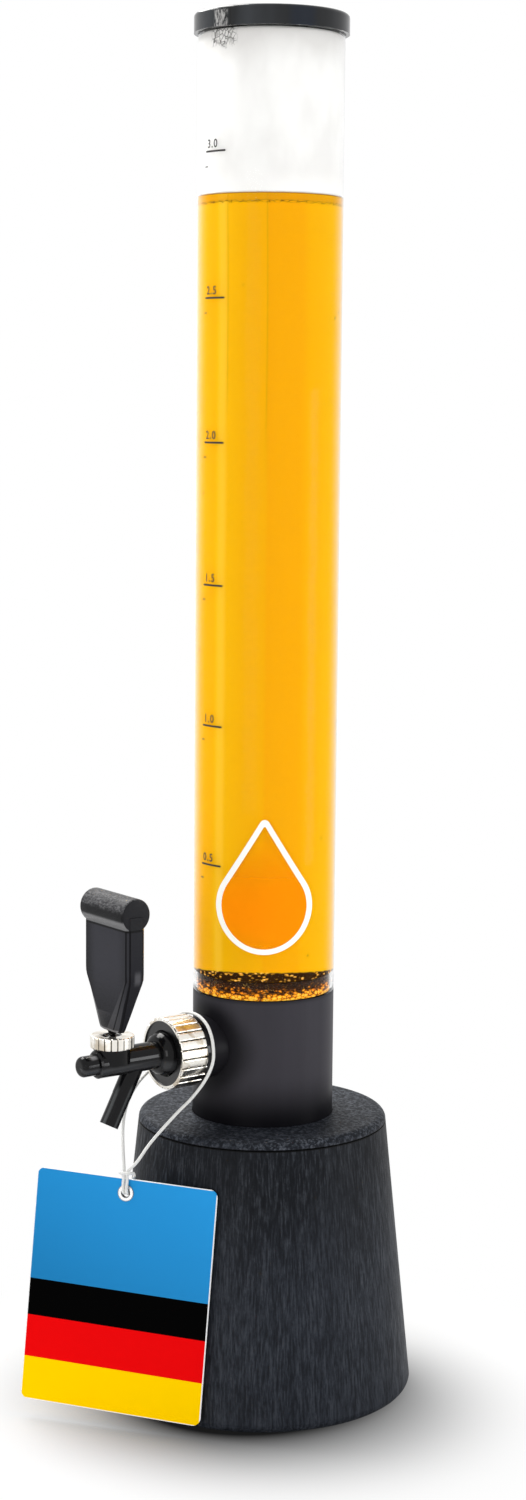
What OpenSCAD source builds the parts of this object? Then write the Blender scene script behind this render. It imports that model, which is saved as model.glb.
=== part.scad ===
// Three-litre drink tower: a clear tube on a weighted conical base, with a lever tap,
// a lift-off lid and a hang tag on an elastic cord.
// Millimetres, +Z up. The origin is the centre of the base on the table; the tap points along -Y.
// Along the tap, places are given as a distance from the tower's axis, called s.

/* [Tower tube] */
// Outer diameter of the clear tube and of the sleeve under it
tube_od = 90; // [75:1:115]
// Wall of the clear tube
tube_wall = 2.5; // [2:0.1:4]
// Length of the clear tube
tube_len = 601; // [300:1:800]

/* [Base] */
// Height of the base
base_h = 182.5; // [150:0.5:230]
// Radius of the base at the table
base_foot_r = 97.5; // [88:0.5:125]
// Radius of the base at its top
base_top_r = 79; // [70:0.5:96]
// Wall of the base shell
shell_wall = 3; // [2:0.1:4]
// Height of the cap that closes the base
cap_h = 5; // [4:0.1:8]
// Depth of the well that holds the tower
well_depth = 42; // [30:1:60]
// Thickness of the cast ballast plate
ballast_t = 14; // [8:1:30]
// How far the rubber pad stands out under the base
pad_out = 1.5; // [1:0.1:3]
// Radius of the rubber pad
base_pad_r = 66; // [40:1:70]

/* [Sleeve] */
// Height of the sleeve that shows above the base
sleeve_h = 80.5; // [72:0.5:110]
// Wall of the sleeve
sleeve_wall = 4; // [3:0.1:6]
// Height of the spigot inside the tube
spigot_h = 11; // [8:0.5:16]
// Wall of the spigot
spigot_wall = 3.3; // [3:0.1:4]
// Depth of the sump below the tap's axis
sump_drop = 21; // [20:0.5:26]

/* [Lid] */
// Width of the lid's rim outside the tube
lid_rim = 2.7; // [2:0.1:5]
// Height of the lid's rim
lid_h = 12; // [10:0.5:20]
// Depth of the lid's skirt inside the tube
skirt_h = 7; // [6.5:0.5:14]
// Wall of the lid's skirt
skirt_wall = 3; // [2.8:0.1:4]
// Thickness of the lid's top
lid_t = 4.4; // [3:0.1:6]

/* [Tap mounting] */
// Height of the tap's axis above the base
tap_rise = 47.5; // [46:0.5:60]
// Radius of the boss on the sleeve
boss_r = 19.5; // [18.5:0.1:22]
// How far the boss stands out of the sleeve
boss_out = 9.5; // [8:0.5:14]
// Radius of the shank's inner thread
shank_r = 10.5; // [9:0.1:12]
// Radius of the shank's bore
shank_bore_r = 7; // [5.5:0.1:8]
// Radius of the shank's flange
flange_r = 20.5; // [19.5:0.1:23]
// Thickness of the shank's flange
flange_t = 2.9; // [2:0.1:5]
// Radius of the shank's outer thread
thread_r = 17; // [14:0.1:19]
// Length of the shank's outer thread
thread_len = 11; // [8:0.5:14]
// Thickness of the gaskets
gasket_t = 1; // [0.5:0.1:2]
// Size of the lock nut across its flats
locknut_af = 27; // [25:0.5:28]
// Thickness of the lock nut
locknut_t = 5.5; // [4:0.5:8]

/* [Union nut] */
// Radius of the union nut
nut_r = 22.7; // [21.5:0.1:26]
// Width of the grooves round the union nut
nut_groove_w = 0.9; // [0.5:0.1:1.5]
// Width of the rim round the union nut's front recess
nut_rim_w = 2.4; // [1.5:0.1:4]
// Thickness of the union nut's front lip
nut_lip_t = 2.6; // [2:0.1:4]
// Number of grooves round the union nut
nut_grooves = 24; // [12:1:36]
// Thickness of the slip ring under the lip
slip_t = 0.8; // [0.5:0.1:1.5]

/* [Tap body] */
// How much smaller than the thread the tap body's neck is
neck_step = 3; // [2.5:0.1:3.5]
// Radius of the barrel
barrel_r = 8.75; // [8.2:0.05:10]
// Distance from the body's flange to the barrel's front end
barrel_len = 57.6; // [56:0.1:70]
// Radius of the spout
spout_r = 6.15; // [5.5:0.05:7]
// Radius of the spout's bore
spout_bore_r = 4; // [3:0.1:4.5]
// Angle of the spout from straight down
spout_angle = 28; // [0:1:30]
// Length of the spout from the barrel's axis
spout_len = 45.2; // [35:0.1:60]
// Length of the spout's end that a hose goes over or a nozzle goes into
mouth_len = 20; // [12:0.5:22]
// Distance of the spout behind the lever
spout_back = 18.7; // [18.5:0.1:19]
// Distance of the lever from the body's flange
lever_from_flange = 45.1; // [45:0.1:46]
// Height of the lever's pivot above the barrel's axis
pivot_h = 13; // [11:0.5:16]
// Radius of the lever's pivot ball
ball_r = 5; // [4.1:0.1:6]
// Radius of the valve shaft
shaft_r = 4; // [3.3:0.05:4.8]
// Radius of the valve's seat hole
seat_r = 4.5; // [3.5:0.1:5]
// Length of the end plug's head
plug_len = 11.6; // [8:0.1:16]
// Radius of the end plug's head
plug_r = 6.5; // [5.5:0.1:7.5]
// Radius of the chrome collar
collar_r = 13.7; // [12.5:0.1:16]
// How far the chrome collar stands above the lever's pivot
collar_over = 4.3; // [3.8:0.1:4.4]

/* [Handle] */
// Greatest width of the handle
handle_w = 48.5; // [36:0.5:60]
// Greatest thickness of the handle's paddle
handle_t = 13.5; // [12:0.5:18]
// Width of the handle at its foot
handle_foot_w = 23; // [18:0.5:30]
// Thickness of the handle at its foot
handle_foot_t = 6.4; // [6.4:0.1:6.8]
// Height of the handle's tapered part
handle_taper_h = 34; // [30:1:50]
// Height from the handle's foot to the roll's axis
handle_h = 75; // [60:1:95]
// Radius of the roll at the handle's top
roll_r = 10.4; // [8.5:0.1:13]

/* [Hang tag] */
// Width of the tag
tag_w = 120; // [90:1:125]
// Height of the tag
tag_h = 146; // [120:1:148]
// Thickness of the tag
tag_t = 1.2; // [0.8:0.1:2]
// Radius of the tag's corners
tag_corner = 5; // [3:0.5:8]
// Distance from the tag's top edge to its eyelet
eyelet_down = 9; // [8:0.5:12]
// Radius of the eyelet's rim
eyelet_r = 5.2; // [4.8:0.1:6]
// Radius of the eyelet's hole
eyelet_hole_r = 2.5; // [2.4:0.1:2.8]
// Diameter of the elastic cord
cord_d = 2; // [1.5:0.1:2]

/* [Clearances] */
// Gap round the tower in the base's well
well_gap = 0.35; // [0.3:0.05:0.6]
// Gap between shells that fit together
fit_gap = 0.3; // [0.2:0.05:0.4]
// Gap between a moving piece and its seat
face_gap = 0.1; // [0.05:0.05:0.2]
// Running gap round the valve shaft
run_gap = 0.05; // [0.03:0.01:0.08]
// Gap round threads, which are drawn plain
thread_gap = 0.05; // [0.03:0.01:0.1]

/* [Hidden] */
$fn = 64;
eps = 0.5;

black = "#26262a";
satin_black = "#38373c";
rubber_black = "#1b1b1d";
chrome = "#d9dadc";
steel = "#a9abae";

// Heights of the tower
tube_r = tube_od / 2;
tube_in_r = tube_r - tube_wall;
tube_z = base_h + sleeve_h;
tube_top = tube_z + tube_len;
foot_z = base_h - well_depth;
tap_z = base_h + tap_rise;
sump_z = tap_z - sump_drop;
sump_floor_t = 4;
sleeve_in_r = tube_r - sleeve_wall;
spigot_r = tube_in_r - 0.2;
spigot_in_r = spigot_r - spigot_wall;
oring_r = 0.9;
oring_gap = 0.02;
spigot_oring_z = tube_z + spigot_h / 2;

// Base
corner_r = 7;
floor_z = pad_out;
plate_t = 3;
ledge_t = 3;
ledge_w = 15;
seam_gap = 0.6;
cap_z = base_h - cap_h;
cap_skirt_h = 12;
cap_skirt_t = 2.5;
cap_top_t = 3;
well_r = tube_r + well_gap;
well_wall = 3;
plate_r = base_foot_r - 10.2;
ballast_r = plate_r - ledge_w + 3.5;
screw_ring_r = plate_r - 5;
screw_r = 1.6;
screw_head_r = 3.2;
screw_head_t = 1.2;
screw_len = 12;
screw_boss_r = 4;
pocket_t = 1.5;

// Lid
lid_r = tube_r + lid_rim;
lid_z = tube_top + lid_t - lid_h;
skirt_r = tube_in_r - fit_gap;
lid_oring_z = tube_top - skirt_h / 2;

// Places along the tap, as distances from the tower's axis
pad_s = sleeve_in_r - 4;
pad_r = 17;
washer_t = 1;
washer_r = 15.8;
boss_s = tube_r + boss_out;
flange_s = boss_s + gasket_t;
thread_s = flange_s + flange_t;
shank_end_s = thread_s + thread_len;
body_s = shank_end_s + gasket_t;
body_flange_t = 4;
body_flange_r = thread_r - 0.4;
neck_r = thread_r - neck_step;
nut_s = thread_s + face_gap;
slip_s = body_s + body_flange_t + face_gap;
lip_s = slip_s + slip_t + face_gap;
nut_front_s = lip_s + nut_lip_t;
nut_bore_r = thread_r + 0.15;
lip_r = neck_r + 0.4;
nut_recess_t = 1;
groove_depth = 0.7;
barrel_end_s = body_s + barrel_len;
lever_s = body_s + lever_from_flange;
spout_s = lever_s - spout_back;
chamber_r = 7.5;
seat_s = body_s + 9.6;
seat_end_s = seat_s + 3;
mid_r = shaft_r + 1.5;
guide_s = lever_s - 15;
shaft_oring_s = lever_s - 10.9;
guide_r = shaft_r + run_gap;
neck_end_s = body_s + 7;
bell_end_s = neck_end_s + 7;
stub_len = 6.5;
stub_r = 5;
plug_round = 3;
mouth_out_r = spout_r - 0.15;
mouth_in_r = spout_bore_r + 0.25;
shank_tail = 8;
stem_thin_r = 2.6;
washer_screw_r = 1.4;
seat_washer_t = 3;

// Lever
pivot_z = tap_z + pivot_h;
stem_r = 2.2;
tip_r = 2;
tip_gap = 0.35;
tip_relief = 1.6;
slot_back = 9.1;
slot_front = 2.7;
slot_half_w = tip_r + 0.4;
socket_gap = 0.05;
collar_z = tap_z + barrel_r + 0.95;
collar_h = pivot_z + collar_over - collar_z;
collar_grooves = 20;
collar_groove_w = 0.8;
opening_r = stem_r + 1.8;
slot_reach = stem_r + 3.6;
opening_flare = 1.1;
neck_flare_r = stem_r + 0.8;
neck_flare_h = 1.6;
post_r = ball_r + 4;
saddle_r = collar_r - 2.2;
post_top = pivot_z + 1;
handle_z = pivot_z + 7.2;
stem_socket = 18;
handle_s = lever_s - 1.7;
paddle_top = handle_z + handle_h - roll_r + 2;

// Tag: turned and tipped, and leant a little more than the base's side that it rests near
tag_turn = 35;
tag_tip = -1.5;
tag_lean = atan((base_foot_r - base_top_r) / base_h) + 2.2;
tag_low = 9.3;
tag_gap = 2.85;
tag_eye_z = tag_low + (tag_h - eyelet_down) * cos(tag_lean);
tag_eye_s = (cone_r(tag_eye_z + eyelet_down) + tag_gap + eyelet_down * sin(tag_lean)) / cos(tag_turn);
tag_eye = [0, -tag_eye_s, tag_eye_z];
eyelet_rim_t = 0.5;

// The cord's middle line: from its knot behind the nut down to the tag, where it makes a
// girth hitch through the eyelet and round its own two strands, then up and over the tap's neck
cord_route = [
    [-24.5, -55.5, 228], [-25.5, -60, 221], [-24.5, -70, 214], [-20.5, -83, 207], [-15, -94, 198],
    [-9.5, -101, 187], [-4.5, -104.5, 174], [-0.1, -106.5, 159.3], [0.5, -107.4, 153.4],
    [0.8, -107.9, 148.4], [0.4, -107.4, 146], [-0.9, -105.6, 144.7], [-2.4, -103.8, 145.4],
    [-3.5, -102.9, 147.5], [-4.7, -103.4, 153.6], [-3.8, -106.7, 157.7], [0.5, -109.2, 158.7],
    [4.4, -106.5, 158.6], [3.4, -101.7, 157.5], [0.5, -99.7, 153.4], [-0.6, -100.9, 147.4],
    [-0.3, -102.3, 145.3], [0.9, -104.4, 144.6], [2.2, -106.1, 146], [2.6, -106.6, 148.4],
    [2.5, -106, 153.3], [2.1, -105, 159.2], [6.5, -101, 166], [9.5, -92.5, 178], [14.5, -78, 194],
    [19.5, -69, 204.5], [23.5, -61.5, 216], [25.5, -57.5, 227], [24, -56.5, 238],
    [18.5, -56, 247], [10, -56, 252], [0, -56, 253], [-11, -56, 250.5], [-20, -55.5, 243],
    [-24.5, -55.5, 232]
];
knot_at = [-24.8, -55, 230];
knot_r = 2.6;
cord_steps = 2;
cord_sides = 8;

// Points on an arc round c, from angle a0 to a1
function arc(c, r, a0, a1, n = 6) =
    [for (i = [0:n]) c + r * [cos(a0 + (a1 - a0) * i / n), sin(a0 + (a1 - a0) * i / n)]];

// Radius of the cone's outside at height z
function cone_r(z) = base_foot_r + (base_top_r - base_foot_r) * z / base_h;

// Turns +Z to point out along the tap, starting s from the tower's axis
module on_tap(s) translate([0, -s, tap_z]) rotate([90, 0, 0]) children();

// Puts a drawing in the tag's plane, with its origin at the eyelet and +Z out of its face
module on_tag() translate(tag_eye) rotate([0, 0, tag_turn]) rotate([90 - tag_lean, 0, 0])
    rotate([0, 0, tag_tip]) children();

// A tube standing on z = 0
module pipe(r_out, r_in, h) difference() {
    cylinder(r = r_out, h = h);
    translate([0, 0, -eps]) cylinder(r = r_in, h = h + 2 * eps);
}

// A ring of round section
module oring(r, section_r) rotate_extrude() translate([r, 0]) circle(r = section_r, $fn = 24);

// Copies round the Z axis at radius r
module around(count, r, turn = 0) for (i = [0:count - 1])
    rotate([0, 0, turn + 360 * i / count]) translate([r, 0, 0]) children();

// A knurled ring with square grooves
module grooved_ring(r, h, count, w, depth) difference() {
    cylinder(r = r, h = h);
    around(count, r - depth) translate([0, -w / 2, -eps]) cube([depth * 2, w, h + 2 * eps]);
}

// --- Base ---------------------------------------------------------------------------------

module base_shell() color(satin_black) {
    top_z = cap_z - seam_gap;
    low = floor_z + plate_t + fit_gap;
    difference() {
        rotate_extrude($fn = 128) polygon(concat(
            [[plate_r + fit_gap, floor_z]],
            arc([cone_r(floor_z) - corner_r, floor_z + corner_r], corner_r, -90, -6),
            [[cone_r(top_z), top_z], [cone_r(top_z) - shell_wall, top_z],
             [cone_r(low + ledge_t) - shell_wall - 1, low + ledge_t],
             [ballast_r + fit_gap, low + ledge_t], [ballast_r + fit_gap, low],
             [plate_r + fit_gap, low]]));
        around(4, screw_ring_r) cylinder(r = screw_r + thread_gap, h = floor_z + screw_len + eps);
    }
    difference() {
        around(4, screw_ring_r) translate([0, 0, low]) cylinder(r = screw_boss_r, h = screw_len);
        around(4, screw_ring_r) cylinder(r = screw_r + thread_gap, h = floor_z + screw_len + eps);
    }
}

module base_cap() color(satin_black) rotate_extrude($fn = 128) {
    rim = cone_r(cap_z);
    inner_r = rim - shell_wall - fit_gap;
    round_r = cap_h - 0.2;
    well_z = foot_z - well_wall;
    polygon(concat(
        [[well_r, base_h]], [[well_r, foot_z]], [[0, foot_z]], [[0, well_z]],
        [[well_r + well_wall, well_z], [well_r + well_wall, base_h - cap_top_t],
         [inner_r - cap_skirt_t, base_h - cap_top_t],
         [inner_r - cap_skirt_t, cap_z - cap_skirt_h],
         [inner_r, cap_z - cap_skirt_h], [inner_r, cap_z], [rim, cap_z]],
        arc([rim - round_r, base_h - round_r], round_r, 0, 90)));
}

module base_plate() color(rubber_black) difference() {
    translate([0, 0, floor_z]) cylinder(r = plate_r, h = plate_t);
    around(4, screw_ring_r) {
        cylinder(r = screw_r + fit_gap, h = floor_z + plate_t + eps);
        cylinder(r = screw_head_r + fit_gap, h = floor_z + screw_head_t + 0.1);
    }
    cylinder(r = base_pad_r + fit_gap, h = floor_z + pocket_t);
}

module ballast_plate() color("#3c3a38") translate([0, 0, floor_z + plate_t])
    cylinder(r = ballast_r, h = ballast_t);

module base_pad() color(rubber_black) cylinder(r = base_pad_r, h = floor_z + pocket_t);

module base_screws() color(steel) around(4, screw_ring_r)
    translate([0, 0, floor_z + 0.1]) difference() {
        union() {
            cylinder(r = screw_head_r, h = screw_head_t);
            cylinder(r = screw_r, h = screw_len - 1);
        }
        for (turn = [0, 90]) rotate([0, 0, turn]) translate([-2, -0.4, -eps])
            cube([4, 0.8, eps + 0.8]);
    }

// --- Tower --------------------------------------------------------------------------------

module lower_sleeve() color(satin_black) difference() {
    union() {
        translate([0, 0, foot_z]) cylinder(r = tube_r, h = tube_z - foot_z, $fn = 128);
        translate([0, 0, tube_z - eps]) cylinder(r = spigot_r, h = spigot_h + eps, $fn = 128);
        on_tap(sleeve_in_r) cylinder(r = boss_r, h = boss_s - sleeve_in_r);
    }
    translate([0, 0, foot_z - eps])
        cylinder(r = sleeve_in_r, h = sump_z - sump_floor_t - foot_z + eps, $fn = 128);
    difference() {
        translate([0, 0, sump_z]) cylinder(r = sleeve_in_r, h = tube_z - sump_z - 3, $fn = 128);
        on_tap(pad_s) cylinder(r = pad_r, h = sleeve_wall * 2);
    }
    translate([0, 0, tube_z - 4]) cylinder(r = spigot_in_r, h = spigot_h + 4 + eps, $fn = 128);
    translate([0, 0, spigot_oring_z - 1.1])
        pipe(tube_r, tube_in_r - 2 * oring_r - 2 * oring_gap, 2.2);
    on_tap(0) cylinder(r = shank_r + thread_gap, h = boss_s + eps);
}

module spigot_oring() color(rubber_black) translate([0, 0, spigot_oring_z])
    oring(tube_in_r - oring_r - oring_gap, oring_r);

module clear_tube() color("#f2b21c") translate([0, 0, tube_z]) difference() {
    cylinder(r = tube_r, h = tube_len, $fn = 128);
    translate([0, 0, -eps]) cylinder(r = tube_in_r, h = tube_len + 2 * eps, $fn = 128);
}

// --- Lid ----------------------------------------------------------------------------------

module lid() color("#4a4a4e") rotate_extrude($fn = 128) {
    top = tube_top + lid_t;
    round_r = 2.5;
    groove_r = skirt_r - 2 * oring_r + fit_gap - 2 * oring_gap;
    polygon(concat(
        [[0, tube_top], [skirt_r - skirt_wall, tube_top],
         [skirt_r - skirt_wall, tube_top - skirt_h], [skirt_r, tube_top - skirt_h],
         [skirt_r, lid_oring_z - 1.1], [groove_r, lid_oring_z - 1.1],
         [groove_r, lid_oring_z + 1.1], [skirt_r, lid_oring_z + 1.1],
         [skirt_r, tube_top], [tube_r + fit_gap, tube_top], [tube_r + fit_gap, lid_z]],
        [[lid_r, lid_z]],
        arc([lid_r - round_r, top - round_r], round_r, 0, 90), [[0, top]]));
}

module lid_oring() color(rubber_black) translate([0, 0, lid_oring_z])
    oring(tube_in_r - oring_r - oring_gap, oring_r);

// --- Tap mounting -------------------------------------------------------------------------

module tap_shank() color(black) difference() {
    union() {
        on_tap(pad_s - washer_t - locknut_t) cylinder(r = shank_r, h = flange_s - pad_s + shank_tail);
        on_tap(flange_s) cylinder(r = flange_r, h = flange_t);
        on_tap(thread_s - eps) cylinder(r = thread_r, h = thread_len + eps);
    }
    on_tap(0) cylinder(r = shank_bore_r, h = shank_end_s + eps);
}

module shank_gasket() color(rubber_black) on_tap(boss_s)
    pipe(boss_r - 0.3, shank_r + 0.4, gasket_t);

module shank_washer() color(steel) on_tap(pad_s - washer_t)
    pipe(washer_r, shank_r + 0.2, washer_t);

module shank_locknut() color(steel) on_tap(pad_s - washer_t - locknut_t) difference() {
    cylinder(r = locknut_af / 2 / cos(30), h = locknut_t, $fn = 6);
    translate([0, 0, -eps]) cylinder(r = shank_r + thread_gap, h = locknut_t + 2 * eps);
}

module tap_gasket() color(rubber_black) on_tap(shank_end_s)
    pipe(body_flange_r - 1, chamber_r + 0.5, gasket_t);

module union_nut() color(chrome) on_tap(nut_s) difference() {
    grooved_ring(nut_r, nut_front_s - nut_s, nut_grooves, nut_groove_w, groove_depth);
    translate([0, 0, -eps]) cylinder(r = nut_bore_r, h = lip_s - nut_s + eps);
    cylinder(r = lip_r, h = nut_front_s - nut_s + eps);
    translate([0, 0, nut_front_s - nut_s - nut_recess_t])
        cylinder(r = nut_r - nut_rim_w, h = nut_recess_t + eps);
}

module slip_ring() color("#e8e8e4") on_tap(slip_s) pipe(body_flange_r, lip_r, slip_t);

// --- Tap body -----------------------------------------------------------------------------

// Outline of the body along the barrel: the flange, the neck, the bell and the barrel
module body_outline() polygon(concat(
    [[0, body_s], [body_flange_r, body_s], [body_flange_r, body_s + body_flange_t],
     [neck_r, body_s + body_flange_t]],
    [for (i = [0:8]) [barrel_r + (neck_r - barrel_r) * cos(90 * i / 8),
                      neck_end_s + (bell_end_s - neck_end_s) * sin(90 * i / 8)]],
    [[barrel_r, barrel_end_s - 1], [barrel_r - 1, barrel_end_s], [0, barrel_end_s]]));

// Everything drilled along the barrel
module barrel_bores() {
    on_tap(body_s - eps) cylinder(r = chamber_r, h = seat_s - body_s + eps);
    on_tap(body_s) cylinder(r = seat_r, h = seat_end_s - body_s + 1);
    on_tap(seat_end_s) cylinder(r = mid_r, h = guide_s - seat_end_s);
    on_tap(guide_s - eps) cylinder(r = guide_r, h = barrel_end_s - guide_s);
    on_tap(barrel_end_s - stub_len - eps) cylinder(r = stub_r + thread_gap, h = stub_len + 2);
    on_tap(shaft_oring_s - 1)
        cylinder(r = shaft_r + oring_gap + 2 * oring_r + oring_gap, h = 2);
}

module spout_line() translate([0, -spout_s, tap_z]) rotate([180 - spout_angle, 0, 0]) children();

module tap_body() color(black) difference() {
    union() {
        on_tap(0) rotate_extrude() body_outline();
        spout_line() cylinder(r = spout_r, h = spout_len - mouth_len);
        spout_line() cylinder(r = mouth_out_r, h = spout_len);
        translate([0, -lever_s, tap_z]) {
            cylinder(r = saddle_r, h = collar_z - tap_z - 0.2);
            cylinder(r = post_r, h = post_top - tap_z);
        }
    }
    barrel_bores();
    spout_line() cylinder(r = spout_bore_r, h = spout_len);
    spout_line() translate([0, 0, spout_len - mouth_len]) cylinder(r = mouth_in_r, h = mouth_len + eps);
    translate([0, -lever_s, pivot_z]) sphere(r = ball_r + face_gap);
    translate([0, -lever_s, pivot_z]) cylinder(r = ball_r + face_gap, h = pivot_h);
    translate([-slot_half_w, -lever_s - slot_front, tap_z - tip_r - 0.3])
        cube([2 * slot_half_w, slot_front + slot_back, pivot_h]);
}

module barrel_plug() color(black) on_tap(0) rotate_extrude() polygon(concat(
    [[0, barrel_end_s - stub_len], [stub_r, barrel_end_s - stub_len], [stub_r, barrel_end_s],
     [plug_r, barrel_end_s]],
    arc([plug_r - plug_round, barrel_end_s + plug_len - plug_round], plug_round, 0, 90),
    [[0, barrel_end_s + plug_len]]));

module shaft_oring() color(rubber_black) on_tap(shaft_oring_s)
    oring(shaft_r + oring_r + oring_gap, oring_r);

module lever_collar() color(chrome) translate([0, -lever_s, collar_z]) difference() {
    lift = pivot_z - collar_z;
    grooved_ring(collar_r, collar_h, collar_grooves, collar_groove_w, groove_depth);
    translate([0, 0, -eps]) cylinder(r = post_r + thread_gap, h = post_top - collar_z + eps);
    translate([0, 0, lift]) sphere(r = ball_r + face_gap);
    cylinder(r = opening_r, h = collar_h + eps);
    translate([0, 0, collar_h - opening_flare])
        cylinder(r1 = opening_r, r2 = opening_r + opening_flare + eps, h = opening_flare + eps);
    translate([-stem_r - 0.4, -slot_reach, lift + 1])
        cube([2 * stem_r + 0.8, slot_reach, collar_h]);
}

// --- Valve and lever ----------------------------------------------------------------------

module valve_shaft() color("#8d8f92") difference() {
    union() {
        on_tap(seat_s - seat_washer_t) cylinder(r = stem_thin_r, h = guide_s - seat_s + 4);
        on_tap(guide_s) cylinder(r = shaft_r, h = barrel_end_s - stub_len - 1 - guide_s);
    }
    on_tap(seat_s - seat_washer_t - eps) cylinder(r = washer_screw_r + thread_gap, h = 8 + eps);
    translate([-shaft_r - 1, -lever_s - tip_r - tip_gap, tap_z - tip_r - 0.1])
        cube([2 * shaft_r + 2, 2 * (tip_r + tip_gap), shaft_r * 3]);
    translate([-shaft_r - 1, -lever_s - tip_r - tip_gap - tip_relief, tap_z + 0.5])
        cube([2 * shaft_r + 2, tip_relief + tip_r, shaft_r * 3]);
}

module seat_washer() color(rubber_black) on_tap(seat_s - seat_washer_t)
    pipe(seat_r + 2, stem_thin_r + 0.02, seat_washer_t - run_gap);

module washer_screw() color(steel) {
    on_tap(seat_s - seat_washer_t - 2) cylinder(r = 4.2, h = 2);
    on_tap(seat_s - seat_washer_t - 0.5) cylinder(r = washer_screw_r, h = 8);
}

module lever_stem() color(black) translate([0, -lever_s, 0]) {
    translate([0, 0, pivot_z]) sphere(r = ball_r);
    translate([0, 0, tap_z]) sphere(r = tip_r);
    translate([0, 0, tap_z]) cylinder(r = tip_r - 0.3, h = pivot_h);
    translate([0, 0, pivot_z]) cylinder(r = stem_r, h = handle_z - pivot_z + stem_socket);
    translate([0, 0, handle_z - neck_flare_h - socket_gap])
        cylinder(r1 = stem_r, r2 = neck_flare_r, h = neck_flare_h);
}

// The paddle's outline from above, with chamfered upright edges
module paddle_outline(w, t) {
    cut = t * 0.16;
    polygon([[-w / 2 + cut, -t / 2], [w / 2 - cut, -t / 2], [w / 2, -t / 2 + cut],
             [w / 2, t / 2 - cut], [w / 2 - cut, t / 2], [-w / 2 + cut, t / 2],
             [-w / 2, t / 2 - cut], [-w / 2, -t / 2 + cut]]);
}

module tap_handle() color(black) difference() {
    translate([0, -handle_s, handle_z]) {
        hull() {
            translate([0, handle_s - lever_s, 0]) linear_extrude(0.5)
                paddle_outline(handle_foot_w, handle_foot_t);
            translate([0, 0, handle_taper_h]) linear_extrude(0.5)
                paddle_outline(handle_w, handle_t);
        }
        translate([0, 0, handle_taper_h]) linear_extrude(paddle_top - handle_z - handle_taper_h)
            paddle_outline(handle_w, handle_t);
        translate([0, 0, handle_h]) rotate([0, 90, 0]) rotate_extrude() polygon(concat(
            [[0, -handle_w / 2 + 0.6], [roll_r - 1, -handle_w / 2 + 0.6],
             [roll_r, -handle_w / 2 + 1.6], [roll_r, handle_w / 2 - 1.6],
             [roll_r - 1, handle_w / 2 - 0.6], [0, handle_w / 2 - 0.6]]));
    }
    translate([0, -lever_s, handle_z - eps])
        cylinder(r = stem_r + socket_gap, h = stem_socket + eps + 0.2);
}

// --- Tag and cord -------------------------------------------------------------------------

module hang_tag() color("#2385cc") on_tag() difference() {
    low = eyelet_down - tag_h;
    inner_w = tag_w / 2 - tag_corner;
    translate([0, 0, -tag_t / 2]) linear_extrude(tag_t) {
        translate([-tag_w / 2, low + tag_corner]) square([tag_w, tag_h - 2 * tag_corner]);
        translate([-inner_w, low]) square([2 * inner_w, tag_h]);
        for (x = [-inner_w, inner_w]) for (y = [low + tag_corner, eyelet_down - tag_corner])
            translate([x, y]) circle(r = tag_corner);
    }
    translate([0, 0, -tag_t]) cylinder(r = eyelet_hole_r + 0.6, h = 2 * tag_t);
}

module tag_eyelet() color(steel) on_tag() rotate_extrude() {
    polygon([[eyelet_hole_r, -tag_t / 2 - eyelet_rim_t], [eyelet_r, -tag_t / 2 - eyelet_rim_t],
             [eyelet_r, -tag_t / 2], [eyelet_hole_r + 0.55, -tag_t / 2],
             [eyelet_hole_r + 0.55, tag_t / 2], [eyelet_r, tag_t / 2],
             [eyelet_r, tag_t / 2 + eyelet_rim_t], [eyelet_hole_r, tag_t / 2 + eyelet_rim_t]]);
}

function unit(v) = v / norm(v);

// The cord's direction at a point, and two directions across it
function heading(p, i) = unit(p[min(i + 1, len(p) - 1)] - p[max(i - 1, 0)]);
function across(p, i) = unit(cross(heading(p, i), [0.96, 0.2, 0.2]));

// Points between the route's own, on a smooth curve through them
function smooth(p, steps) = [for (i = [0:len(p) - 2]) for (k = [0:(i == len(p) - 2 ? steps : steps - 1)])
    let (a = p[max(i - 1, 0)], b = p[i], c = p[i + 1], d = p[min(i + 2, len(p) - 1)], t = k / steps)
    0.5 * (2 * b + (c - a) * t + (2 * a - 5 * b + 4 * c - d) * t * t
           + (3 * b - a - 3 * c + d) * t * t * t)];

// A closed tube along a line of points
module swept_tube(p, r, sides = cord_sides) {
    rings = len(p);
    pts = [for (i = [0:rings - 1]) let (u = across(p, i), v = cross(heading(p, i), u))
           for (k = [0:sides - 1]) p[i] + r * (cos(360 * k / sides) * u + sin(360 * k / sides) * v)];
    walls = [for (i = [0:rings - 2]) for (k = [0:sides - 1]) for (half = [0, 1])
        let (a = i * sides + k, b = i * sides + (k + 1) % sides)
        half == 0 ? [a, b, b + sides] : [a, b + sides, a + sides]];
    ends = concat([[for (k = [sides - 1:-1:0]) k]],
                  [[for (k = [0:sides - 1]) (rings - 1) * sides + k]]);
    polyhedron(points = pts, faces = concat(walls, ends));
}

module tag_cord() color("#f4f4f2") swept_tube(smooth(cord_route, cord_steps), cord_d / 2);

module cord_knot() color("#f4f4f2") translate(knot_at) sphere(r = knot_r);

base_shell();
base_cap();
base_plate();
ballast_plate();
base_pad();
base_screws();
lower_sleeve();
spigot_oring();
clear_tube();
lid();
lid_oring();
tap_shank();
shank_gasket();
shank_washer();
shank_locknut();
tap_gasket();
union_nut();
slip_ring();
tap_body();
barrel_plug();
shaft_oring();
lever_collar();
valve_shaft();
seat_washer();
washer_screw();
lever_stem();
tap_handle();
hang_tag();
tag_eyelet();
tag_cord();
cord_knot();
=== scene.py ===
import math

import bmesh
import bpy
import numpy as np
from mathutils import Matrix, Vector


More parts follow.
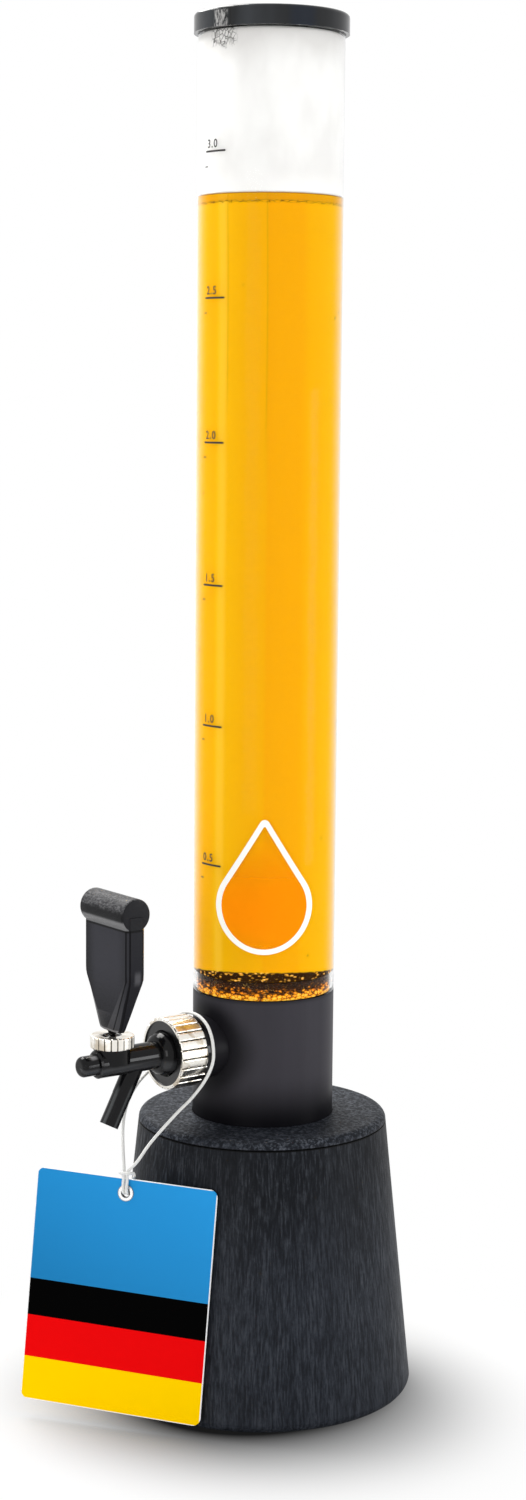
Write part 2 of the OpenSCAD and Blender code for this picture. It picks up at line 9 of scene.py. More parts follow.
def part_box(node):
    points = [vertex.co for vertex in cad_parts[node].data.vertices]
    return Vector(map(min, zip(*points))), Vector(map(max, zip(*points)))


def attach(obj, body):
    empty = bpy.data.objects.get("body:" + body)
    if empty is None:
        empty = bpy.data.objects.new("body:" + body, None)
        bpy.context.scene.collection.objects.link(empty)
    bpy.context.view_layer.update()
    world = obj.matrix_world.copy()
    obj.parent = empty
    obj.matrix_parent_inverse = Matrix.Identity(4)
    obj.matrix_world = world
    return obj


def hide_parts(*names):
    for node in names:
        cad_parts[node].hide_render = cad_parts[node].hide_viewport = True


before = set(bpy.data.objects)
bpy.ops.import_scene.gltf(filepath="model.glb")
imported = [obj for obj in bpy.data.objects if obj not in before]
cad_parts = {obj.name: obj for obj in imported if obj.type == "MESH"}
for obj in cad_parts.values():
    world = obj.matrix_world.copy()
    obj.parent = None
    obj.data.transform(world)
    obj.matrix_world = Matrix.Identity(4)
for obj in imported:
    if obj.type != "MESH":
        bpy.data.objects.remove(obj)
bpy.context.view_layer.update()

bl_info = {
    "name": "Drink Tower",
    "version": (1, 0, 0),
    "blender": (4, 5, 0),
    "location": "View3D > Sidebar > Drink Tower",
    "description": "Builds the finish, the filling, the prints and the cord of a clear drink tower",
    "category": "Object",
}

MM = 0.001
VIEW_ANGLE = 53.36
CAMERA_PITCH, CAMERA_ROLL = 0.1329, 0.0091
CAMERA_DISTANCE, CAMERA_HEIGHT = 1.6429, 0.6353
LENS, LENS_SHIFT = 62.85, -0.00163
# Sizes in millimetres: the beer's inset from the tube's outside, the handle's foot to its
# roll's axis, that axis behind the lever, the height of its taper, the lever's pivot above
# the floor, and the prints' lift off the tube
BEER_INSET = 2.4
ROLL_UP = 75.0
ROLL_BACK = 1.7
TAPER_UP = 34.6
PIVOT_Z = 243.0
PRINT_LIFT = 0.06
TUBE_LO, TUBE_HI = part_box("clear_tube")
NUT_LO, NUT_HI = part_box("union_nut")
COLLAR_LO, COLLAR_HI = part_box("lever_collar")
HANDLE_LO, HANDLE_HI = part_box("tap_handle")
TAP_Z = (NUT_LO.z + NUT_HI.z) / 2
LEVER_Y = (COLLAR_LO.y + COLLAR_HI.y) / 2
TAP_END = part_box("barrel_plug")[0].y
# Heights in millimetres, and the spout's direction downwards and forwards
CAP_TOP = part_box("base_cap")[1].z / MM
LID_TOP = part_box("lid")[1].z / MM
TUBE_FOOT = TUBE_LO.z / MM
SPOUT_DOWN, SPOUT_OUT = 0.883, 0.469

# The cord's middle line in millimetres, the same points as the model's own
CORD_ROUTE = [
    (-24.5, -55.5, 228), (-25.5, -60, 221), (-24.5, -70, 214), (-20.5, -83, 207), (-15, -94, 198),
    (-9.5, -101, 187), (-4.5, -104.5, 174), (-0.1, -106.5, 159.3), (0.5, -107.4, 153.4),
    (0.8, -107.9, 148.4), (0.4, -107.4, 146), (-0.9, -105.6, 144.7), (-2.4, -103.8, 145.4),
    (-3.5, -102.9, 147.5), (-4.7, -103.4, 153.6), (-3.8, -106.7, 157.7), (0.5, -109.2, 158.7),
    (4.4, -106.5, 158.6), (3.4, -101.7, 157.5), (0.5, -99.7, 153.4), (-0.6, -100.9, 147.4),
    (-0.3, -102.3, 145.3), (0.9, -104.4, 144.6), (2.2, -106.1, 146), (2.6, -106.6, 148.4),
    (2.5, -106, 153.3), (2.1, -105, 159.2), (6.5, -101, 166), (9.5, -92.5, 178), (14.5, -78, 194),
    (19.5, -69, 204.5), (23.5, -61.5, 216), (25.5, -57.5, 227), (24, -56.5, 238),
    (18.5, -56, 247), (10, -56, 252), (0, -56, 253), (-11, -56, 250.5), (-20, -55.5, 243),
    (-24.5, -55.5, 232),
]
CORD_KNOT = (-24.8, -55, 230)

# The tag's own directions: along its width, up its height and out of its face; and its eyelet
TAG_EYE = (0.0, -104.98, 144.97)
TAG_WIDE = (0.821, 0.570, -0.026)
TAG_UP = (-0.058, 0.129, 0.990)


# --- Settings -----------------------------------------------------------------------------


def metres(label, about, default):
    return bpy.props.FloatProperty(name=label, description=about, default=default,
                                   unit="LENGTH", precision=4)


def tint(label, about, default):
    return bpy.props.FloatVectorProperty(name=label, description=about, default=default,
                                         size=3, subtype="COLOR", min=0.0, max=1.0)


class TowerSizes(bpy.types.PropertyGroup):
    """Sizes that a user would change"""
    beer_top: metres("Beer level", "Height of the beer under its foam", 0.7589)
    foam_top: metres("Foam level", "Height of the foam under the lid", 0.8562)
    mark_step: metres("Mark step", "Distance between two half-litre marks", 0.0874)
    mark_low: metres("Lowest mark", "Height of the half-litre mark", 0.3469)
    number_height: metres("Number height", "Height of the scale's numbers", 0.0045)
    drop_low: metres("Drop foot", "Height of the drop print's lowest point", 0.2930)
    drop_radius: metres("Drop radius", "Radius of the drop print's round part", 0.0300)
    drop_tip: metres("Drop tip", "Height of the drop print's tip above its round part's centre",
                     0.0580)
    drop_line: metres("Drop line", "Width of the drop print's line", 0.0034)
    cord_width: metres("Cord width", "Diameter of the elastic cord", 0.0020)
    groove_depth: metres("Groove depth", "Depth of the grooves round the union nut", 0.0008)


class TowerColours(bpy.types.PropertyGroup):
    """Colours that a user would change, as linear values"""
    beer: tint("Beer", "Colour of the beer", (0.84, 0.455, 0.004))
    # the deeper orange of the beer's bands, partly random and partly painted shading
    beer_deep_and_shade: tint("Deep beer", "Colour of the beer where it looks deepest", (0.83, 0.362, 0.003))
    foam: tint("Foam", "Colour of the foam", (0.86, 0.852, 0.838))
    sleeve: tint("Sleeve", "Colour of the satin sleeve", (0.037, 0.035, 0.042))
    base: tint("Base", "Colour of the base", (0.018, 0.021, 0.028))
    lid: tint("Lid", "Colour of the lid", (0.030, 0.034, 0.040))
    tap: tint("Tap", "Colour of the gloss tap", (0.0035, 0.0035, 0.004))
    handle: tint("Handle", "Colour of the tap handle", (0.012, 0.012, 0.015))
    chrome: tint("Chrome", "Colour of the chromed pieces", (0.86, 0.83, 0.77))
    sky: tint("Tag field", "Colour of the tag's upper field", (0.020, 0.262, 0.610))
    red: tint("Tag red", "Colour of the tag's red stripe", (0.80, 0.003, 0.004))
    gold: tint("Tag gold", "Colour of the tag's gold stripe", (1.0, 0.62, 0.0))
    cord: tint("Cord", "Colour of the elastic cord", (0.86, 0.86, 0.84))


# --- Shader maths ---------------------------------------------------------------------------


class Link:
    """One socket of a material; sums and comparisons on it add the nodes that work them out."""

    def __init__(self, finish, socket):
        self.finish, self.socket = finish, socket

    def maths(self, kind, first, second):
        if "VECTOR" in (getattr(v, "kind", None) for v in (first, second)):
            first, second = ((v,) * 3 if isinstance(v, (int, float)) else v
                             for v in (first, second))
            return self.finish.node("ShaderNodeVectorMath", {"operation": kind},
                                    {0: first, 1: second})
        return self.finish.node("ShaderNodeMath", {"operation": kind}, {0: first, 1: second})

    @property
    def kind(self):
        return self.socket.type

    def __add__(self, other):
        return self.maths("ADD", self, other)

    __radd__ = __add__

    def __sub__(self, other):
        return self.maths("SUBTRACT", self, other)

    def __rsub__(self, other):
        return self.maths("SUBTRACT", other, self)

    def __mul__(self, other):
        return self.maths("MULTIPLY", self, other)

    __rmul__ = __mul__

    def __truediv__(self, other):
        return self.maths("DIVIDE", self, other)

    def __gt__(self, other):
        return self.maths("GREATER_THAN", self, other)

    def __lt__(self, other):
        return self.maths("LESS_THAN", self, other)

    def __pow__(self, other):
        return self.maths("POWER", self, other)


class Finish:
    """A material that is being written. Its point p is the object's own place in millimetres."""

    def __init__(self, name):
        self.material = bpy.data.materials.new(name)
        self.material.use_nodes = True
        self.tree = self.material.node_tree
        self.tree.nodes.clear()
        self.p = self.node("ShaderNodeTexCoord", {}, {}, "Object") * (1 / MM)
        split = self.node("ShaderNodeSeparateXYZ", {}, {0: self.p}, None)
        self.x, self.y, self.z = (Link(self, split.outputs[i]) for i in range(3))

    def node(self, kind, settings, values, out=0):
        """Adds a node: its type, its settings, then the values or links of its sockets."""
        made = self.tree.nodes.new(kind)
        for key, value in settings.items():
            if key == "stops":
                ramp = made.color_ramp
                while len(ramp.elements) < len(value):
                    ramp.elements.new(1.0)
                for element, (place, colour) in zip(ramp.elements, value):
                    element.position, element.color = place, (*colour, 1.0)
            else:
                setattr(made, key, value)
        for key, value in values.items():
            socket = made.inputs[key]
            if isinstance(value, Link):
                self.tree.links.new(value.socket, socket)
            elif socket.type == "RGBA" and len(value) == 3:
                socket.default_value = (*value, 1.0)
            else:
                socket.default_value = value
        return made if out is None else Link(self, made.outputs[out])

    def mix(self, share, first, second, blend="MIX"):
        """Colour between two colours."""
        return self.node("ShaderNodeMix", {"data_type": "RGBA", "blend_type": blend},
                         {0: share, 6: first, 7: second}, 2)

    def noise(self, size, detail=3.0, rough=0.5, squeeze=(1, 1, 1), where=None, warp=0.0):
        """Cloudy noise from 0 to 1 whose clouds are about size millimetres across."""
        place = (where or self.p) * tuple(s / size for s in squeeze)
        return self.node("ShaderNodeTexNoise", {}, {"Vector": place, "Scale": 1.0,
                         "Detail": detail, "Roughness": rough, "Distortion": warp}, 0)

    def cells(self, size, feature="F1", out="Distance", squeeze=(1, 1, 1), where=None, even=1.0):
        """Cells about size millimetres across."""
        place = (where or self.p) * tuple(s / size for s in squeeze)
        return self.node("ShaderNodeTexVoronoi", {"feature": feature},
                         {"Vector": place, "Scale": 1.0, "Randomness": even}, out)

    def spread(self, value, low, high, first=0.0, second=1.0, smooth=True):
        """value from low to high, spread to first to second."""
        return self.node("ShaderNodeMapRange",
                         {"interpolation_type": "SMOOTHSTEP" if smooth else "LINEAR"},
                         {"Value": value, "From Min": low, "From Max": high,
                          "To Min": first, "To Max": second})

    def between(self, value, rise, fall):
        """1 inside a window of value that opens over rise and closes over fall."""
        return self.spread(value, *rise) * self.spread(value, *fall)

    def both(self, first, second):
        """The larger of two values."""
        return first.maths("MAXIMUM", first, second)

    def on_tag(self):
        """Place on the tag: millimetres across it and up it from the eyelet."""
        place = self.p - TAG_EYE
        return [self.node("ShaderNodeVectorMath", {"operation": "DOT_PRODUCT"},
                          {0: place, 1: direction}, "Value") for direction in (TAG_WIDE, TAG_UP)]

    def turned(self, up, along):
        """Angle of a direction in radians."""
        return self.node("ShaderNodeMath", {"operation": "ARCTAN2"}, {0: up, 1: along})

    def around(self):
        """Angle about the tower's axis in radians, from 0 at the tap's side."""
        return self.turned(self.x, self.y * -1.0)

    def wave(self, value):
        """Sine of a value."""
        return self.node("ShaderNodeMath", {"operation": "SINE"}, {0: value})

    def size_of(self, value):
        """A value without its sign."""
        return self.node("ShaderNodeMath", {"operation": "ABSOLUTE"}, {0: value})

    def near(self, value, wide, soft):
        """1 where value is within soft of 0, down to 0 where it is wide from it."""
        return self.spread(self.size_of(value), wide, soft)

    def relief(self, height, depth, strength=1.0):
        """Bump of a height from 0 to 1 that is depth millimetres deep."""
        return self.node("ShaderNodeBump", {}, {"Strength": strength, "Distance": depth * MM,
                         "Height": height}, "Normal")

    def done(self, **sockets):
        """Ends the material in one Principled shader."""
        values = {key.replace("_", " "): value for key, value in sockets.items()}
        shader = self.node("ShaderNodeBsdfPrincipled", {}, values, "BSDF")
        self.node("ShaderNodeOutputMaterial", {}, {"Surface": shader}, None)
        return self.material


def paint(name, share=1.0):
    """One of the user's colours, made darker or paler by a share."""
    return tuple(c * share for c in getattr(bpy.context.scene.tower_colours, name))


def sizes():
    return bpy.context.scene.tower_sizes


def satin_finish():
    """Smooth satin plastic, with slow upright bands and a fine skin, a painted shade that darkens
    it towards the base's cap, a thin painted shadow just under the tube's foot and a painted shade
    round the tap's nut; above the tube's foot it is the spigot, seen through a film of beer full of
    bubbles, with painted glints on the bubbles and a painted glow."""
    f = Finish("satin_sleeve")
    bands = f.noise(9.0, 2.0, squeeze=(1, 1, 0.05))
    skin = f.noise(0.35, 2.0)
    tone = f.mix(bands * 0.5, paint("sleeve"), paint("sleeve", 1.5))
    # painted shade: the sleeve darkens towards the base's cap
    tone = f.mix(f.spread(f.z, CAP_TOP + 33.5, CAP_TOP + 1.5) * 0.92, tone, (0.001, 0.001, 0.002))
    # painted shadow: a thin dark band just under the tube's foot
    tone = f.mix(f.spread(f.z, TUBE_FOOT - 3.0, TUBE_FOOT - 0.2) * 0.5, tone, (0.006, 0.006, 0.008))
    # painted shade: the sleeve darkens round the tap's nut on its front
    up = f.z - TAP_Z / MM
    painted_nut_shade = f.spread((f.x * f.x + up * up) ** 0.5, 37.0, 23.0) * (f.y < 0.0)
    tone = f.mix(painted_nut_shade * 0.8, tone, (0.003, 0.003, 0.004))
    film = f.z > TUBE_FOOT + 0.02
    high = f.spread(f.z, TUBE_FOOT, TUBE_FOOT + 11.0, smooth=False)
    cell = f.cells(3.0, squeeze=(1, 1, 1.5))
    edge = f.cells(3.0, "DISTANCE_TO_EDGE", squeeze=(1, 1, 1.5))
    small = f.cells(1.3, squeeze=(1, 1, 1.3))
    wet = f.spread(cell * 0.6 + small * 0.25 + high * 0.62, 0.25, 0.95, 1.0, 0.0)
    amber = f.node("ShaderNodeValToRGB", {"stops": [
        (0.0, (0.010, 0.005, 0.003)), (0.28, (0.12, 0.035, 0.003)), (0.46, (0.60, 0.17, 0.004)),
        (0.66, (0.90, 0.34, 0.006)), (1.0, (1.0, 0.58, 0.06))]}, {0: wet})
    amber = f.mix(f.spread(edge, 0.010, 0.07, 0.8, 0.0), amber, (0.05, 0.016, 0.004))
    # painted glints: pale gold flecks on the bubbles
    bubble_glint = f.spread(small, 0.20, 0.10) * f.spread(f.noise(5.0, 2.0), 0.45, 0.60)
    amber = f.mix(bubble_glint * 0.85, amber, (1.0, 0.62, 0.13))
    # painted glow: the beer film over the spigot emits its amber colour
    return f.done(Base_Color=f.mix(film, tone, amber), Emission_Strength=0.4,
                  Emission_Color=f.mix(film, (0.0, 0.0, 0.0), amber),
                  Roughness=f.spread(bands + skin * 0.3, 0.3, 0.9, 0.34, 0.44),
                  Specular_IOR_Level=0.06,
                  Normal=f.relief(skin, 0.02, 0.35))


def base_finish():
    """Black moulded plastic with a bark grain: fine upright streaks on the sides, which are dark
    under the cap and blue-grey below, and short rough strokes on the top; a painted shade fills the
    groove under the cap's edge."""
    f = Finish("base_bark")
    streaks = f.noise(1.3, 4.0, 0.62, squeeze=(1, 1, 0.05), warp=0.2)
    long = f.noise(6.0, 3.0, 0.6, squeeze=(1, 1, 0.03))
    grain = f.noise(2.3, 3.0, 0.68, warp=0.4)
    patch = f.noise(40.0, 2.0, 0.5, squeeze=(1, 1, 0.4))
    top = f.spread(f.z, CAP_TOP - 6.0, CAP_TOP - 4.0)
    rough = f.node("ShaderNodeMix", {"data_type": "FLOAT"},
                   {0: top, 2: streaks * 0.65 + grain * 0.15 + long * 0.2, 3: grain}, 0)
    low = f.spread(f.z + patch * 60.0, CAP_TOP + 13.5, CAP_TOP - 64.5)
    side = f.mix(low, paint("base", 0.42), paint("base"))
    tone = f.mix(top, side, paint("base", 0.9))
    light = f.spread(rough, 0.48, 0.64) * f.spread(patch + long * 0.4, 0.45, 0.95, 0.4, 1.0)
    tone = f.mix(light * f.spread(top, 0.0, 1.0, 0.32, 0.8), tone, (0.095, 0.105, 0.125))
    tone = f.mix(f.spread(rough, 0.52, 0.40) * 0.6, tone, (0.003, 0.0035, 0.005))
    # painted shade in the groove under the cap's edge
    seam = f.between(f.z, (CAP_TOP - 6.5, CAP_TOP - 6.0), (CAP_TOP - 4.5, CAP_TOP - 4.9))
    tone = f.mix(seam * 0.9, tone, (0.001, 0.001, 0.001))
    return f.done(Base_Color=tone, Roughness=f.spread(rough, 0.3, 0.7, 0.60, 0.42),
                  Specular_IOR_Level=0.08, Normal=f.relief(rough, 0.35, 0.7))


def rubber_finish(name, tone):
    """Matt black rubber with a fine pebbled skin and pale scuffs."""
    f = Finish(name)
    pebble = f.cells(0.9, "SMOOTH_F1")
    scuff = f.spread(f.noise(14.0, 4.0, 0.7), 0.56, 0.75)
    return f.done(Base_Color=f.mix(scuff * 0.35, tone, tuple(c * 3 + 0.01 for c in tone)),
                  Roughness=f.spread(scuff, 0.0, 1.0, 0.62, 0.8),
                  Normal=f.relief(pebble, 0.12, 0.5))


def iron_finish():
    """Rough cast iron with dark pits and a brown bloom."""
    f = Finish("cast_iron")
    pits = f.noise(2.2, 5.0, 0.7)
    bloom = f.spread(f.noise(24.0, 3.0), 0.5, 0.7)
    tone = f.mix(bloom * 0.5, (0.055, 0.052, 0.050), (0.12, 0.055, 0.03))
    return f.done(Base_Color=f.mix(f.spread(pits, 0.5, 0.35), tone, (0.015, 0.013, 0.012)),
                  Metallic=f.spread(bloom, 0.0, 1.0, 0.7, 0.2), Roughness=0.68,
                  Normal=f.relief(pits, 0.5, 0.7))


def steel_finish(name, tone, dull):
    """Turned steel with fine scratches and a cloudy dullness."""
    f = Finish(name)
    scratch = f.noise(0.5, 2.0, squeeze=(1, 1, 9))
    cloud = f.noise(4.0, 3.0)
    return f.done(Base_Color=f.mix(cloud * 0.35, tone, tuple(c * 0.7 for c in tone)),
                  Metallic=1.0, Roughness=f.spread(scratch + cloud, 0.7, 1.3, dull, dull + 0.14),
                  Normal=f.relief(scratch, 0.01, 0.3))


def chrome_finish(name, across, radius, ribs, clear=0.0):
    """Bright chrome over plastic: faint cloudy waves, warm patches of painted reflection, hairline
    scratches, grooves between the ribs darkened by painted shade, and, where clear is given, a
    black unplated recess inside that distance of the axis. across gives the two directions square
    to the axis from it."""
    f = Finish(name)
    one, two = across(f)
    wave = f.noise(7.0, 2.0)
    scratch = f.spread(f.noise(1.2, 4.0, 0.8, squeeze=(6, 1, 1)), 0.62, 0.72)
    tone = f.mix(scratch * 0.25, paint("chrome"), (0.45, 0.43, 0.40))
    # painted reflection: warm tan patches in the chrome
    tone = f.mix(f.spread(f.noise(13.0, 2.0, warp=0.6), 0.48, 0.66) * 0.7, tone,
                 (0.50, 0.41, 0.29))
    turn = f.turned(two, one)
    off = (one * one + two * two) ** 0.5
    # painted shade: the grooves between the ribs are dark
    groove = f.spread(f.wave(turn * ribs + math.pi / 2), 0.88, 0.96) * (off > radius - 0.95)
    tone = f.mix(groove, tone, (0.018, 0.016, 0.013))
    plated = 1.0
    rough = f.spread(wave + scratch * 0.5, 0.4, 1.2, 0.24, 0.34)
    if clear:
        plated = f.spread(off, clear - 0.12, clear + 0.12)
        tone = f.mix(plated, paint("tap"), tone)
    return f.done(Base_Color=tone, Metallic=plated, Roughness=rough,
                  Normal=f.relief(wave, 0.05, 0.25))


def gloss_finish():
    """Gloss black moulded plastic: deep, with faint moulding waves, dust, fine scratches, soft pale
    streaks of painted highlight along the barrel and down the spout, and a painted highlight on the
    knob."""
    f = Finish("gloss_tap")
    wave = f.noise(11.0, 2.0)
    dust = f.spread(f.noise(0.5, 1.0), 0.74, 0.80)
    tone = f.mix(dust * 0.25, paint("tap"), (0.07, 0.07, 0.075))
    up = f.z - TAP_Z / MM
    barrel = f.turned(up, f.x)
    # painted highlight: a soft pale streak along the barrel
    along = f.near(barrel + 0.34 + wave * 0.15, 0.42, 0.08) * (up > -13.0)
    tone = f.mix(along * 0.45, tone, (0.075, 0.077, 0.082))
    # painted highlight on the top of the knob
    knob_highlight = f.near(barrel - 1.05, 0.40, 0.10) * f.near(f.y - TAP_END / MM - 8.5, 3.5, 1.0)
    tone = f.mix(knob_highlight * 0.6, tone, (0.30, 0.30, 0.31))
    spout = f.turned(f.y * -SPOUT_DOWN + up * SPOUT_OUT - 85.5, f.x)
    low = f.spread(up, -14.0, -19.0)
    # painted highlights: two soft pale streaks down the spout
    tone = f.mix(low * f.near(spout - 1.30 + wave * 0.1, 0.30, 0.06) * 0.7, tone,
                 (0.085, 0.09, 0.092))
    tone = f.mix(low * f.near(spout + 0.06 + wave * 0.1, 0.24, 0.05) * 0.55, tone,
                 (0.075, 0.08, 0.082))
    return f.done(Base_Color=tone, Roughness=f.spread(wave + dust * 0.4, 0.35, 1.0, 0.08, 0.18),
                  Specular_IOR_Level=0.18, Normal=f.relief(wave, 0.12, 0.3))


def handle_finish():
    """Satin black handle with painted light and shade: its face has a painted sheen along the
    middle, painted shade lines at its upright edges, a painted highlight on a facet down its taper
    and a painted highlight along its foot's rim, and its side has a painted reflection patch; the
    roll has a speckled top that is painted lighter, a painted shade band, a painted gleam at the
    joint and a painted shade in the crease under it."""
    f = Finish("satin_handle")
    foot, top, lever = HANDLE_LO.z / MM, HANDLE_HI.z / MM, LEVER_Y / MM
    joint = top - 19.2
    h, y = f.z - foot, f.y - lever
    fine = f.noise(0.30, 2.0)
    coarse = f.noise(1.3, 4.0, 0.7, squeeze=(0.5, 1, 1))
    soft = f.noise(7.0, 2.0, squeeze=(1, 1, 0.10))
    front = y < f.spread(h, 0.0, TAPER_UP, -2.0, -3.6, smooth=False)
    # painted sheen: the face is paler along the middle, a lighter copy of the handle colour
    pale = f.spread(f.x + soft * 8.0, -22.0, -4.0, 0.1, 1.0) * f.spread(f.x, 23.0, 12.0, 0.6, 1.0)
    pale = (pale * f.spread(h, 6.0, 44.0, 0.30, 1.0) * front
            + f.spread(h, 20.0, 60.0, 0.30, 0.42) * (1.0 - front))
    tone = f.mix(pale, paint("handle", 0.4),
                 paint("handle", 2.5))
    edge = f.spread(h, 0.0, TAPER_UP, 5.4, 22.2, smooth=False)
    # painted highlight on a facet down the taper
    facet = f.spread(h, 1.0, 36.0, -1.3, 22.2, smooth=False)
    lit = f.spread(f.x - facet, -0.4, 0.4) * front * f.spread(h, 36.0, 8.0, 0.15, 0.55)
    tone = f.mix(lit, tone, (0.075, 0.075, 0.082))
    # painted reflection: a lighter patch on the side face
    patch = f.near(h - 36.0, 6.0, 1.0) * f.near(y - 2.6, 3.2, 1.0) * (1.0 - front)
    tone = f.mix(patch * 0.5, tone, (0.13, 0.13, 0.14))
    # painted shade: dark lines along the upright edges of the face and the side
    front_edges = f.both(f.near(f.x - edge, 0.75, 0.25), f.near(f.x + edge, 0.75, 0.25)) * front
    near_edge = f.spread(h, 0.0, TAPER_UP, -1.45, -2.9, smooth=False)
    far_edge = f.spread(h, 0.0, TAPER_UP, 1.4, 6.3, smooth=False)
    side_edges = f.both(f.near(y - near_edge, 0.7, 0.2), f.near(y - far_edge, 0.9, 0.3))
    painted_edge_shade = f.both(front_edges, side_edges * (1.0 - front))
    tone = f.mix(painted_edge_shade * 0.9, tone, (0.002, 0.002, 0.003))
    # painted highlight: a pale rim along the foot
    rim = f.between(h, (0.2, 0.6), (2.0, 1.0)) * front
    tone = f.mix(rim * 0.7, tone, (0.24, 0.24, 0.25))
    turn = f.turned(h - ROLL_UP, ROLL_BACK - y)
    speckle = f.spread(coarse, 0.42, 0.66)
    # painted light and shade: the roll's speckled top is lighter, and below it is a painted shade
    # band
    roll = f.mix(speckle * 0.8, (0.038, 0.038, 0.041), (0.15, 0.15, 0.155))
    roll = f.mix(f.spread(turn + coarse * 0.3, 0.62, 0.25), roll, (0.012, 0.012, 0.013))
    # painted highlight: a gleam on the roll's underside near the joint
    roll = f.mix(f.spread(turn, -0.25, -0.45) * f.spread(fine, 0.2, 0.8, 0.6, 0.9), roll,
                 (0.21, 0.21, 0.215))
    roll = f.mix(f.x > HANDLE_HI.x / MM - 0.75, roll, (0.014, 0.014, 0.016))
    on_roll = f.spread(f.z, joint - 0.3, joint + 0.1)
    tone = f.mix(on_roll, tone, roll)
    # painted shade in the crease under the roll
    painted_crease_shade = f.near(f.z - joint + 0.6, 0.9, 0.4) * (h > 1.0)
    tone = f.mix(painted_crease_shade * 0.85, tone, (0.002, 0.002, 0.002))
    tone = f.mix(h < 0.0, tone, (0.002, 0.002, 0.002))
    return f.done(Base_Color=tone, Specular_IOR_Level=0.07,
                  Roughness=f.spread(fine + speckle * on_roll, 0.3, 1.3, 0.26, 0.5),
                  Normal=f.relief(fine * 0.2 + coarse * on_roll, 0.08, 0.4))


def lid_finish():
    """Gloss slate lid: broad grey upright zones, navy upright bands of painted reflection, a
    painted pale glint of fine streaks on the tap's side, a lighter top edge and hairline scratches."""
    f = Finish("gloss_lid")
    turn = f.around()
    cloud = f.noise(26.0, 2.0, squeeze=(1, 1, 0.1))
    hair = f.spread(f.noise(1.6, 3.0, 0.8, squeeze=(1, 1, 7)), 0.62, 0.70)
    dark = paint("lid", 0.28)
    tone = f.mix(f.spread(cloud, 0.38, 0.62), dark, paint("lid"))
    # painted reflection: navy upright bands round the lid
    navy = f.spread(f.wave(turn * 3.0 - 2.42), 0.78, 0.97)
    tone = f.mix(navy * 0.8, tone, (0.004, 0.009, 0.020))
    streaks = f.noise(0.9, 4.0, 0.75, squeeze=(1, 1, 0.25))
    # painted glint: pale fine streaks on the tap's side
    glint = f.between(turn, (0.10, 0.15), (0.36, 0.31))
    glint = glint * f.spread(f.z, LID_TOP - 1.8, LID_TOP - 3.0)
    tone = f.mix(glint * f.spread(streaks, 0.40, 0.62) * 0.85, tone, (0.52, 0.51, 0.50))
    seam = f.between(turn, (0.365, 0.372), (0.40, 0.392))
    tone = f.mix(seam * 0.8, tone, (0.004, 0.004, 0.005))
    return f.done(Base_Color=tone, Roughness=f.spread(cloud + hair * 0.5, 0.3, 1.2, 0.10, 0.22),
                  Specular_IOR_Level=0.3, Normal=f.relief(cloud, 0.2, 0.2))


def acrylic_finish():
    """Clear extruded acrylic: faint upright drawing lines and a few hair scratches."""
    f = Finish("clear_acrylic_tube")
    drawn = f.noise(2.2, 2.0, squeeze=(1, 1, 0.01))
    hair = f.spread(f.noise(1.0, 4.0, 0.75, squeeze=(1, 1, 0.2)), 0.70, 0.78)
    facing = f.node("ShaderNodeLayerWeight", {}, {"Blend": 0.5}, "Facing")
    return f.done(Base_Color=(0.985, 0.99, 0.985), Roughness=f.spread(hair, 0.0, 1.0, 0.0, 0.08),
                  Transmission_Weight=1.0, IOR=1.08, Coat_Weight=f.spread(facing, 0.46, 0.76),
                  Coat_Roughness=0.06, Coat_IOR=1.5, Sheen_Weight=0.35, Sheen_Roughness=0.25,
                  Normal=f.relief(drawn, 0.01, 0.15))


